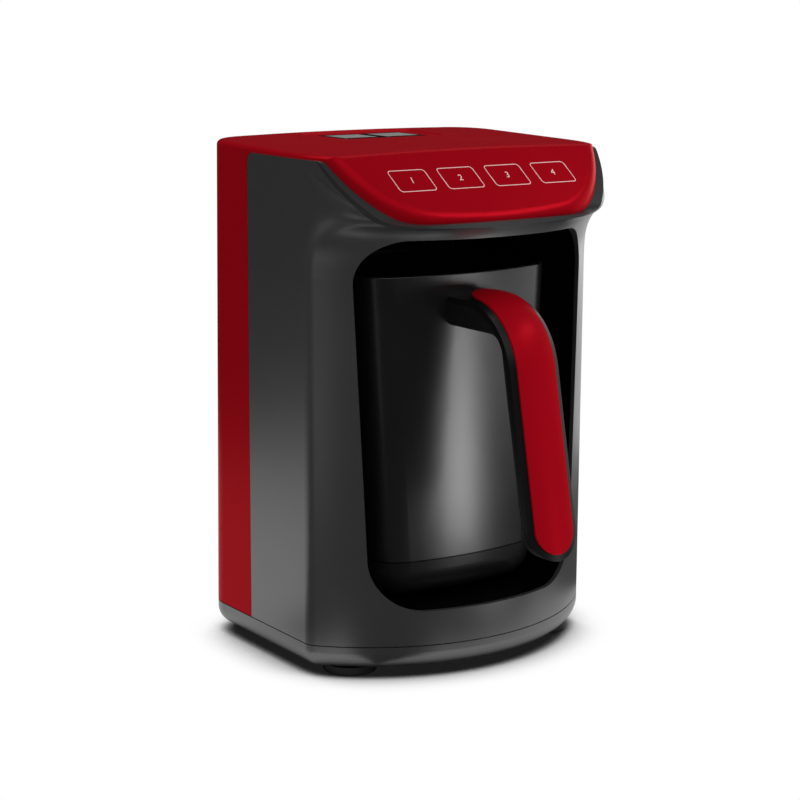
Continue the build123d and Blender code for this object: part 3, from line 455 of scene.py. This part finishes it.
def cap_border():
    """Border colour outside a rectangle round a cap's middle, and the inside colour within it."""
    name = "Cap border"
    if name in bpy.data.node_groups:
        return bpy.data.node_groups[name]
    group = new_group(
        name,
        [
            ("Inside", "NodeSocketColor", (0.5, 0.5, 0.5, 1.0)),
            ("Border", "NodeSocketColor", (0.0, 0.0, 0.0, 1.0)),
            ("Middle", "NodeSocketVector", (0.0, 0.0, 0.0)),
            ("Reach", "NodeSocketVector", (1.0, 1.0, 1.0)),
        ],
        [("Colour", "NodeSocketColor")],
    )
    ends = add_node(group, "NodeGroupInput", (-1100, 0))
    out = add_node(group, "NodeGroupOutput", (500, 0))
    place = add_node(group, "ShaderNodeTexCoord", (-1100, -260))
    offset = add_node(group, "ShaderNodeVectorMath", (-850, -200), operation="SUBTRACT")
    distance = add_node(group, "ShaderNodeVectorMath", (-650, -200), operation="ABSOLUTE")
    share = add_node(group, "ShaderNodeVectorMath", (-450, -200), operation="DIVIDE")
    parts = add_node(group, "ShaderNodeSeparateXYZ", (-250, -200))
    largest = add_node(group, "ShaderNodeMath", (-60, -200), operation="MAXIMUM")
    outside = add_node(group, "ShaderNodeMath", (120, -200), operation="GREATER_THAN")
    outside.inputs[1].default_value = 1.0
    mixed = add_node(group, "ShaderNodeMix", (300, 0), data_type="RGBA")
    group.links.new(place.outputs["Object"], offset.inputs[0])
    group.links.new(ends.outputs["Middle"], offset.inputs[1])
    group.links.new(offset.outputs[0], distance.inputs[0])
    group.links.new(distance.outputs[0], share.inputs[0])
    group.links.new(ends.outputs["Reach"], share.inputs[1])
    group.links.new(share.outputs[0], parts.inputs[0])
    group.links.new(parts.outputs["X"], largest.inputs[0])
    group.links.new(parts.outputs["Y"], largest.inputs[1])
    group.links.new(largest.outputs[0], outside.inputs[0])
    group.links.new(outside.outputs[0], mixed.inputs["Factor"])
    group.links.new(ends.outputs["Inside"], mixed.inputs[MIX_FIRST])
    group.links.new(ends.outputs["Border"], mixed.inputs[MIX_SECOND])
    group.links.new(mixed.outputs[MIX_RESULT], out.inputs["Colour"])
    return group


def grey(level):
    """A neutral colour."""
    return (level, level, level)


def shader_tree(name):
    """A new material with an empty Principled shader: (material, node tree, shader)."""
    material = bpy.data.materials.new(name)
    material.use_nodes = True
    tree = material.node_tree
    tree.nodes.clear()
    shader = add_node(tree, "ShaderNodeBsdfPrincipled", (0, 0))
    out = add_node(tree, "ShaderNodeOutputMaterial", (320, 0))
    tree.links.new(shader.outputs["BSDF"], out.inputs["Surface"])
    return material, tree, shader


def add_bump(tree, shader, height, strength, distance):
    """Feeds a height to the shader's normal through a bump."""
    bump = add_node(tree, "ShaderNodeBump", (-220, -260))
    bump.inputs["Strength"].default_value = strength
    bump.inputs["Distance"].default_value = distance
    tree.links.new(height, bump.inputs["Height"])
    tree.links.new(bump.outputs["Normal"], shader.inputs["Normal"])


def moulded(name, colour, roughness, grain=2200.0, bump=0.12, metallic=0.0, specular=0.5, coat=0.0,
            change=0.06, tint=(1.0, 1.0, 1.0)):
    """A moulded or painted plastic with fine grain."""
    material, tree, shader = shader_tree(name)
    shader.inputs["Specular Tint"].default_value = (*tint, 1.0)
    shader.inputs["Metallic"].default_value = metallic
    shader.inputs["Specular IOR Level"].default_value = specular
    shader.inputs["Coat Weight"].default_value = coat
    shader.inputs["Coat Roughness"].default_value = COAT_ROUGHNESS
    effect = add_node(tree, "ShaderNodeGroup", (-520, 0), node_tree=moulded_grain())
    effect.inputs["Grain scale"].default_value = grain
    effect.inputs["Roughness"].default_value = roughness
    effect.inputs["Roughness change"].default_value = change
    effect.inputs["Colour"].default_value = (*colour, 1.0)
    effect.inputs["Shade change"].default_value = SHADE_CHANGE
    tree.links.new(effect.outputs["Colour"], shader.inputs["Base Color"])
    tree.links.new(effect.outputs["Roughness"], shader.inputs["Roughness"])
    add_bump(tree, shader, effect.outputs["Height"], bump, GRAIN_DEPTH)
    return material


def brushed(name, colour, roughness, stretch=FINE_BRUSH):
    """A brushed or turned metal."""
    material, tree, shader = shader_tree(name)
    shader.inputs["Base Color"].default_value = (*colour, 1.0)
    shader.inputs["Metallic"].default_value = 1.0
    effect = add_node(tree, "ShaderNodeGroup", (-520, 0), node_tree=brushed_lines())
    effect.inputs["Stretch"].default_value = stretch
    effect.inputs["Roughness"].default_value = roughness
    tree.links.new(effect.outputs["Roughness"], shader.inputs["Roughness"])
    add_bump(tree, shader, effect.outputs["Height"], LINE_BUMP, LINE_DEPTH)
    return material


def dress(material, slot, *nodes):
    """Gives CAD nodes a finished material."""
    for name in nodes:
        node = NODES[name]
        if not node.material_slots:
            node.data.materials.append(material)
        for place in node.material_slots:
            place.material = material


def red_finish(name, finish, metallic):
    """Metallic red plastic, whose reflections are red too."""
    return moulded(
        name,
        finish.red,
        finish.red_roughness,
        grain=SMOOTH_GRAIN,
        bump=0.04,
        metallic=metallic,
        specular=0.02,
        tint=finish.red_glint,
    )


def key_top(cap, name, finish):
    """Smoky grey plastic for the top of one key, with a black border painted round it that stands in for the
    key's black walls and the shade in the dish round it: partly the key's own black, partly painted shade.
    """
    material = moulded(name, finish.key_grey, roughness=0.3, bump=0.03, specular=0.3)
    tree = material.node_tree
    shader = next(node for node in tree.nodes if node.type == "BSDF_PRINCIPLED")
    inside = next(node for node in tree.nodes if node.type == "GROUP").outputs["Colour"]
    low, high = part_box(cap)
    half = (high - low) / 2
    # Black band round the cap: partly the key's black walls, partly painted shade.
    border = add_node(tree, "ShaderNodeGroup", (-220, 200), node_tree=cap_border())
    border.inputs["Border"].default_value = (*finish.black, 1.0)
    border.inputs["Middle"].default_value = NODES[cap].matrix_world.inverted() @ (low + half)
    border.inputs["Reach"].default_value = (half.x - KEY_BORDER[0], half.y - KEY_BORDER[1], 1.0)
    tree.links.new(inside, border.inputs["Inside"])
    tree.links.new(border.outputs["Colour"], shader.inputs["Base Color"])
    return material


# ---------------------------------------------------------------- operators: finishes of the parts
class COFFEE_OT_red_shells(bpy.types.Operator):
    """Red rear shell, top cover and top plate"""

    bl_idname = "coffee.red_shells"
    bl_label = "Red shells"

    def execute(self, context):
        finish = context.scene.coffee_finish
        red = red_finish("red_satin", finish, metallic=0.28)
        dress(red, "red_plastic", "rear_shell", "top_cover", "top_plate")
        return {"FINISHED"}


class COFFEE_OT_charcoal_housing(bpy.types.Operator):
    """Charcoal front housing, base tray and bezel"""

    bl_idname = "coffee.charcoal_housing"
    bl_label = "Charcoal housing"

    def execute(self, context):
        finish = context.scene.coffee_finish
        charcoal = moulded(
            "charcoal_satin",
            finish.charcoal,
            finish.charcoal_roughness,
            grain=SMOOTH_GRAIN,
            bump=0.05,
            metallic=0.8,
            specular=0.4,
        )
        # The band under the panel is the same charcoal plastic, made darker and duller here: painted shade
        # under the panel's edge.
        band = moulded(
            "bezel_painted_shade_satin",
            finish.bezel,
            roughness=0.34,
            grain=SMOOTH_GRAIN,
            bump=0.04,
            metallic=0.4,
            specular=0.25,
        )
        dress(charcoal, "charcoal_plastic", "front_housing", "base_tray")
        dress(band, "charcoal_plastic", "panel_bezel")
        return {"FINISHED"}


class COFFEE_OT_jug_bay(bpy.types.Operator):
    """Gloss-black bay with its dock, contacts and sensor windows"""

    bl_idname = "coffee.jug_bay"
    bl_label = "Jug bay"

    def execute(self, context):
        finish = context.scene.coffee_finish
        gloss = moulded(
            "bay_gloss_black",
            finish.black,
            roughness=0.16,
            grain=900.0,
            bump=0.02,
            specular=0.3,
            change=0.03,
        )
        satin = moulded("dock_black", grey(0.006), roughness=0.35, bump=0.1, specular=0.3)
        lens = moulded(
            "sensor_window",
            (0.004, 0.002, 0.006),
            roughness=0.06,
            grain=600.0,
            bump=0.01,
            coat=0.6,
            change=0.02,
        )
        brass = brushed("contact_brass", (0.72, 0.5, 0.2), roughness=0.24, stretch=(300.0, 300.0, 300.0))
        dress(gloss, "black_gloss", "cavity_liner", "bay_ceiling")
        dress(satin, "black_plastic", "dock_plate", "dock_connector")
        dress(lens, "dark_lens", "sensor_lenses")
        dress(brass, "brass_contact", "dock_contacts")
        return {"FINISHED"}


class COFFEE_OT_jug(bpy.types.Operator):
    """Jug with its coated shell, base cup, steel vessel, seal, heater and plug"""

    bl_idname = "coffee.jug"
    bl_label = "Jug"

    def execute(self, context):
        finish = context.scene.coffee_finish
        coat = moulded(
            "jug_black_coat",
            finish.jug,
            roughness=0.32,
            grain=3200.0,
            bump=0.06,
            metallic=0.95,
            specular=0.3,
        )
        # The steel vessel is made near black all over.
        dark_vessel = moulded(
            "vessel_near_black",
            (0.01, 0.01, 0.0105),
            roughness=0.38,
            grain=3600.0,
            bump=0.1,
            specular=0.25,
        )
        cup = moulded("jug_cup_black", grey(0.008), roughness=0.32, bump=0.08, specular=0.4)
        plug = moulded("plug_black", grey(0.01), roughness=0.45, bump=0.15, specular=0.4)
        seal = moulded("seal_rubber", grey(0.006), roughness=0.6, bump=0.2, specular=0.3)
        plate = brushed("heater_aluminium", (0.7, 0.7, 0.71), roughness=0.42)
        element = brushed("element_steel", (0.42, 0.4, 0.38), roughness=0.4, stretch=(800.0, 800.0, 800.0))
        dress(coat, "black_metal", "jug_shell")
        dress(cup, "black_plastic", "jug_base")
        dress(dark_vessel, "stainless", "jug_vessel")
        dress(plate, "aluminium_plate", "heater_plate", "thermostat")
        dress(element, "stainless", "heating_element")
        dress(plug, "black_plastic", "jug_plug")
        dress(seal, "foot_rubber", "jug_seal")
        return {"FINISHED"}


class COFFEE_OT_handle(bpy.types.Operator):
    """Jug handle: black body, satin frame, red grip and its screws"""

    bl_idname = "coffee.handle"
    bl_label = "Handle"

    def execute(self, context):
        finish = context.scene.coffee_finish
        body = moulded("handle_black", grey(0.009), roughness=0.36, bump=0.06, specular=0.4)
        satin = moulded(
            "handle_satin_grey",
            grey(0.008),
            roughness=0.33,
            bump=0.05,
            metallic=0.3,
            specular=0.25,
        )
        red = red_finish("grip_red", finish, metallic=0.12)
        steel = brushed("handle_screw_steel", (0.5, 0.5, 0.51), roughness=0.3)
        dress(body, "black_plastic", "handle_body")
        dress(satin, "handle_satin", "handle_frame")
        dress(red, "red_plastic", "handle_grip")
        dress(steel, "screw_steel", "handle_screws")
        return {"FINISHED"}


class COFFEE_OT_keys(bpy.types.Operator):
    """Two keys with smoky grey tops, and their frame, springs and switches"""

    bl_idname = "coffee.keys"
    bl_label = "Keys"

    def execute(self, context):
        finish = context.scene.coffee_finish
        body = moulded("key_black", grey(0.005), roughness=0.25, bump=0.04, specular=0.4)
        inner = moulded("key_frame_black", grey(0.01), roughness=0.5, bump=0.15)
        spring = brushed("spring_steel", grey(0.55), roughness=0.25)
        dress(body, "black_plastic", "key_left", "key_right", "key_switches")
        for side in ("left", "right"):
            cap = "key_cap_" + side
            dress(key_top(cap, f"key_{side}_smoky_grey", finish), "key_grey", cap)
        dress(spring, "screw_steel", "key_spring_left", "key_spring_right")
        dress(inner, "black_plastic", "key_frame")
        return {"FINISHED"}


class COFFEE_OT_electronics(bpy.types.Operator):
    """Circuit boards with their parts"""

    bl_idname = "coffee.electronics"
    bl_label = "Electronics"

    def execute(self, context):
        board = moulded("solder_mask_green", (0.02, 0.12, 0.045), roughness=0.38, grain=700.0, bump=0.1)
        black = moulded("component_black", grey(0.012), roughness=0.45, bump=0.1)
        blue = moulded("relay_blue", (0.02, 0.08, 0.3), roughness=0.35, bump=0.05)
        copper = brushed("winding_copper", (0.7, 0.32, 0.16), roughness=0.35, stretch=(60.0, 60.0, 3000.0))
        dress(board, "circuit_board", *BOARDS)
        dress(black, "black_plastic", "buzzer")
        dress(blue, "black_plastic", "heater_relay")
        dress(copper, "black_plastic", "transformer")
        return {"FINISHED"}


class COFFEE_OT_feet_and_fixings(bpy.types.Operator):
    """Rubber feet, screws and cord gland"""

    bl_idname = "coffee.feet_and_fixings"
    bl_label = "Feet and fixings"

    def execute(self, context):
        rubber = moulded("foot_rubber", grey(0.012), roughness=0.62, grain=1500.0, bump=0.3, specular=0.3)
        gland = moulded("gland_black", grey(0.01), roughness=0.42, bump=0.15)
        zinc = brushed("screw_zinc", (0.5, 0.5, 0.51), roughness=0.32)
        dress(rubber, "foot_rubber", "rubber_feet")
        dress(gland, "black_plastic", "cord_gland")
        dress(zinc, "screw_steel", "base_screws", "board_screws")
        return {"FINISHED"}


# ---------------------------------------------------------------- printed touch fields
def panel_frame(x, down):
    """The matrix of a place on the tilted panel: local X to the right, Y up the slope, Z out of it."""
    up = Vector((0.0, math.cos(PANEL_SLOPE), math.sin(PANEL_SLOPE)))
    out = Vector((0.0, -math.sin(PANEL_SLOPE), math.cos(PANEL_SLOPE)))
    place = Vector((x, CREASE_Y, CREASE_Z)) - up * down
    turn = Matrix((Vector((1.0, 0.0, 0.0)), up, out)).transposed()
    return Matrix.Translation(place) @ turn.to_4x4()


def ink_material(finish):
    """Slightly glossy screen-printing ink."""
    return moulded("printed_ink", finish.print_colour, roughness=0.45, grain=4000.0, bump=0.05, change=0.05)


def field_positions(fields):
    """The middle of each touch field across the panel."""
    first = -(fields.count - 1) / 2 * fields.pitch
    return [first + k * fields.pitch for k in range(fields.count)]


def rounded_loop(mesh, half_width, half_height, corner, lean):
    """The edges of a leaning rounded rectangle."""
    loop = []
    for quarter, (sx, sy) in enumerate(((1, 1), (-1, 1), (-1, -1), (1, -1))):
        centre = Vector((sx * (half_width - corner), sy * (half_height - corner)))
        for k in range(CORNER_STEPS + 1):
            turn = math.radians(90 * (quarter + k / CORNER_STEPS))
            x = centre.x + corner * math.cos(turn)
            y = centre.y + corner * math.sin(turn)
            loop.append(mesh.verts.new((x - lean * y / half_height, y, 0.0)))
    return [mesh.edges.new((loop[k], loop[k - 1])) for k in range(len(loop))]


def place_piece(name, mesh, material, body):
    """Writes a bmesh to a new object that rides on a body."""
    data = bpy.data.meshes.new(name)
    mesh.to_mesh(data)
    mesh.free()
    data.materials.append(material)
    piece = bpy.data.objects.new(name, data)
    bpy.context.scene.collection.objects.link(piece)
    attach(piece, body)
    return piece


class COFFEE_OT_touch_fields(bpy.types.Operator):
    """Printed frames of the touch fields"""

    bl_idname = "coffee.touch_fields"
    bl_label = "Touch fields"

    def execute(self, context):
        fields = context.scene.coffee_fields
        ink = ink_material(context.scene.coffee_finish)
        for number, x in enumerate(field_positions(fields), start=1):
            mesh = bmesh.new()
            half_width = fields.width / 2
            half_height = fields.height / 2
            outer = rounded_loop(mesh, half_width, half_height, fields.corner, fields.lean)
            inner = rounded_loop(
                mesh,
                half_width - fields.line,
                half_height - fields.line,
                fields.corner - fields.line,
                fields.lean,
            )
            ring = bmesh.ops.bridge_loops(mesh, edges=outer + inner)["faces"]
            top = bmesh.ops.extrude_face_region(mesh, geom=ring)["geom"]
            raised = [item for item in top if isinstance(item, bmesh.types.BMVert)]
            bmesh.ops.translate(mesh, verts=raised, vec=(0.0, 0.0, fields.ink))
            bmesh.ops.recalc_face_normals(mesh, faces=mesh.faces)
            bmesh.ops.transform(mesh, matrix=panel_frame(x, fields.down), verts=mesh.verts)
            place_piece(f"touch_field_{number}", mesh, ink, "machine")
        return {"FINISHED"}


class COFFEE_OT_field_numbers(bpy.types.Operator):
    """Plain numbers inside the touch fields"""

    bl_idname = "coffee.field_numbers"
    bl_label = "Field numbers"

    def execute(self, context):
        fields = context.scene.coffee_fields
        ink = bpy.data.materials["printed_ink"]
        for number, x in enumerate(field_positions(fields), start=1):
            text = bpy.data.curves.new("number", "FONT")
            text.body = str(number)
            text.align_x = "CENTER"
            text.align_y = "CENTER"
            text.size = fields.digit
            text.extrude = fields.ink / 2
            draft = bpy.data.objects.new("number", text)
            context.scene.collection.objects.link(draft)
            evaluated = draft.evaluated_get(context.evaluated_depsgraph_get())
            solid = bpy.data.meshes.new_from_object(evaluated)
            bpy.data.objects.remove(draft)
            mesh = bmesh.new()
            mesh.from_mesh(solid)
            bmesh.ops.translate(mesh, verts=mesh.verts, vec=(0.0, 0.0, fields.ink / 2))
            bmesh.ops.transform(mesh, matrix=panel_frame(x, fields.down), verts=mesh.verts)
            place_piece(f"field_number_{number}", mesh, ink, "machine")
        return {"FINISHED"}


# ---------------------------------------------------------------- stage
def turned_to(axis, place, target):
    """The rotation that points an axis from a place to a target."""
    return (Vector(target) - Vector(place)).to_track_quat(axis, "Y")


def add_softbox(box):
    """A softbox that the camera doesn't see."""
    light = bpy.data.lights.new(box.name, "AREA")
    light.shape = "RECTANGLE"
    light.size = box.width
    light.size_y = box.height
    light.energy = box.power
    lamp = bpy.data.objects.new(box.name, light)
    lamp.location = box.place
    lamp.rotation_euler = turned_to("-Z", box.place, box.target).to_euler()
    lamp.visible_camera = False
    bpy.context.scene.collection.objects.link(lamp)


def stage_plane(name, width, depth, matrix, material):
    """A flat piece of the stage."""
    mesh = bmesh.new()
    bmesh.ops.create_grid(mesh, x_segments=1, y_segments=1, size=0.5)
    bmesh.ops.scale(mesh, vec=(width, depth, 1.0), verts=mesh.verts)
    bmesh.ops.transform(mesh, matrix=matrix, verts=mesh.verts)
    data = bpy.data.meshes.new(name)
    mesh.to_mesh(data)
    mesh.free()
    data.materials.append(material)
    plane = bpy.data.objects.new(name, data)
    bpy.context.scene.collection.objects.link(plane)
    return plane


def seen_rays(tree):
    """One where a camera, glossy or transmission ray looks, so that these see the plain white background."""
    rays = add_node(tree, "ShaderNodeLightPath", (-900, 300))
    seen = add_node(tree, "ShaderNodeMath", (-650, 300), operation="MAXIMUM")
    through = add_node(tree, "ShaderNodeMath", (-450, 300), operation="MAXIMUM")
    tree.links.new(rays.outputs["Is Camera Ray"], seen.inputs[0])
    tree.links.new(rays.outputs["Is Glossy Ray"], seen.inputs[1])
    tree.links.new(seen.outputs[0], through.inputs[0])
    tree.links.new(rays.outputs["Is Transmission Ray"], through.inputs[1])
    return through.outputs[0]


def floor_material(stage):
    """Pale floor: white where it is seen, apart from the object's soft contact shadow."""
    material, tree, shader = shader_tree("pale_floor")
    shader.inputs["Base Color"].default_value = (*stage.floor, 1.0)
    shader.inputs["Roughness"].default_value = 0.8
    shader.inputs["Specular IOR Level"].default_value = 0.1
    shade = add_node(tree, "ShaderNodeAmbientOcclusion", (-900, -300), samples=SHADOW_SAMPLES)
    shade.inputs["Distance"].default_value = stage.shadow_reach
    ramp = add_node(tree, "ShaderNodeValToRGB", (-650, -300))
    ramp.color_ramp.interpolation = "EASE"
    ramp.color_ramp.elements[0].position = SHADOW_CORE
    ramp.color_ramp.elements[0].color = (*grey(SHADOW_TONE), 1.0)
    ramp.color_ramp.elements[1].position = SHADOW_RIM
    glow = add_node(tree, "ShaderNodeEmission", (-300, -300))
    mixed = add_node(tree, "ShaderNodeMixShader", (320, -160))
    tree.links.new(shade.outputs["AO"], ramp.inputs["Fac"])
    tree.links.new(ramp.outputs["Color"], glow.inputs["Color"])
    tree.links.new(seen_rays(tree), mixed.inputs["Fac"])
    tree.links.new(shader.outputs["BSDF"], mixed.inputs[1])
    tree.links.new(glow.outputs["Emission"], mixed.inputs[2])
    out = next(node for node in tree.nodes if node.type == "OUTPUT_MATERIAL")
    tree.links.new(mixed.outputs["Shader"], out.inputs["Surface"])
    return material


def white_world(stage):
    """White background that lights the object softly."""
    world = bpy.data.worlds.new("studio")
    world.use_nodes = True
    tree = world.node_tree
    tree.nodes.clear()
    plain = add_node(tree, "ShaderNodeBackground", (0, 120))
    plain.inputs["Color"].default_value = (*grey(1.0), 1.0)
    plain.inputs["Strength"].default_value = 1.0
    soft = add_node(tree, "ShaderNodeBackground", (0, -60))
    soft.inputs["Color"].default_value = (*grey(1.0), 1.0)
    soft.inputs["Strength"].default_value = stage.ambient
    mixed = add_node(tree, "ShaderNodeMixShader", (250, 0))
    out = add_node(tree, "ShaderNodeOutputWorld", (450, 0))
    tree.links.new(seen_rays(tree), mixed.inputs["Fac"])
    tree.links.new(soft.outputs[0], mixed.inputs[1])
    tree.links.new(plain.outputs[0], mixed.inputs[2])
    tree.links.new(mixed.outputs[0], out.inputs["Surface"])
    bpy.context.scene.world = world


def dark_material(stage):
    """Matt dark grey of the cards."""
    material, _, shader = shader_tree("dark_card")
    shader.inputs["Base Color"].default_value = (*stage.card, 1.0)
    shader.inputs["Roughness"].default_value = 0.9
    return material


def dark_card(name, width, depth, matrix, material):
    """A dark card that only reflections see, to shape the shine on the walls."""
    card = stage_plane(name, width, depth, matrix, material)
    for rays in ("camera", "diffuse", "transmission", "shadow"):
        setattr(card, "visible_" + rays, False)


def add_cards(material):
    """All dark cards, on the floor and standing."""
    for card in FLOOR_CARDS:
        turn = Matrix.Rotation(math.radians(card.turn), 4, "Z")
        matrix = Matrix.Translation((card.x, card.y, card.height)) @ turn
        dark_card(card.name, card.width, card.depth, matrix, material)
    for card in STANDING_CARDS:
        facing = turned_to("Z", card.place, card.target).to_matrix().to_4x4()
        matrix = Matrix.Translation(card.place) @ facing
        dark_card(card.name, card.width, card.height, matrix, material)


def add_camera(stage):
    """The camera at its place, turned, tilted and rolled."""
    turn, down, roll = stage.camera_turn, stage.camera_down, stage.camera_roll
    ahead = Vector((math.sin(turn) * math.cos(down), math.cos(turn) * math.cos(down), -math.sin(down)))
    right = Vector((math.cos(turn), -math.sin(turn), 0.0))
    up = right.cross(ahead)
    rolled = right * math.cos(roll) + up * math.sin(roll)
    top = up * math.cos(roll) - right * math.sin(roll)
    facing = Matrix((rolled, top, -ahead)).transposed().to_4x4()
    camera = bpy.data.cameras.new("camera")
    camera.sensor_width = SENSOR_WIDTH
    camera.lens = stage.camera_lens
    eye = bpy.data.objects.new("camera", camera)
    eye.matrix_world = Matrix.Translation(stage.camera_place) @ facing
    bpy.context.scene.collection.objects.link(eye)
    bpy.context.scene.camera = eye


class COFFEE_OT_stage(bpy.types.Operator):
    """Floor, white background, dark cards, softboxes and camera"""

    bl_idname = "coffee.stage"
    bl_label = "Stage"

    def execute(self, context):
        stage = context.scene.coffee_stage
        white_world(stage)
        stage_plane("floor", FLOOR_SIZE, FLOOR_SIZE, Matrix.Identity(4), floor_material(stage))
        add_cards(dark_material(stage))
        for box in SOFTBOXES:
            add_softbox(box)
        add_camera(stage)
        context.scene.view_settings.view_transform = "Standard"
        return {"FINISHED"}


OPERATORS = (
    COFFEE_OT_red_shells,
    COFFEE_OT_charcoal_housing,
    COFFEE_OT_jug_bay,
    COFFEE_OT_jug,
    COFFEE_OT_handle,
    COFFEE_OT_keys,
    COFFEE_OT_electronics,
    COFFEE_OT_feet_and_fixings,
    COFFEE_OT_touch_fields,
    COFFEE_OT_field_numbers,
    COFFEE_OT_stage,
)


class COFFEE_PT_sidebar(bpy.types.Panel):
    """The coffee maker's steps and settings"""

    bl_idname = "COFFEE_PT_sidebar"
    bl_label = "Coffee Maker"
    bl_space_type = "VIEW_3D"
    bl_region_type = "UI"
    bl_category = "Coffee Maker"

    def draw(self, context):
        for operator in OPERATORS:
            self.layout.operator(operator.bl_idname)
        scene = context.scene
        for settings in (scene.coffee_finish, scene.coffee_fields, scene.coffee_stage):
            box = self.layout.box()
            for name in settings.__annotations__:
                box.prop(settings, name)


SETTINGS = (FinishSettings, FieldSettings, StageSettings)


def register():
    """Adds the settings, operators and panel to Blender."""
    for cls in (*SETTINGS, *OPERATORS, COFFEE_PT_sidebar):
        bpy.utils.register_class(cls)
    bpy.types.Scene.coffee_finish = PointerProperty(type=FinishSettings)
    bpy.types.Scene.coffee_fields = PointerProperty(type=FieldSettings)
    bpy.types.Scene.coffee_stage = PointerProperty(type=StageSettings)


def unregister():
    """Takes them out again."""
    del bpy.types.Scene.coffee_stage
    del bpy.types.Scene.coffee_fields
    del bpy.types.Scene.coffee_finish
    for cls in reversed((*SETTINGS, *OPERATORS, COFFEE_PT_sidebar)):
        bpy.utils.unregister_class(cls)


def main():
    """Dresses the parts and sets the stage."""
    register()
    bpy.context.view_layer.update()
    for operator in OPERATORS:
        group, name = operator.bl_idname.split(".")
        getattr(getattr(bpy.ops, group), name)()


if __name__ == "__main__":
    main()
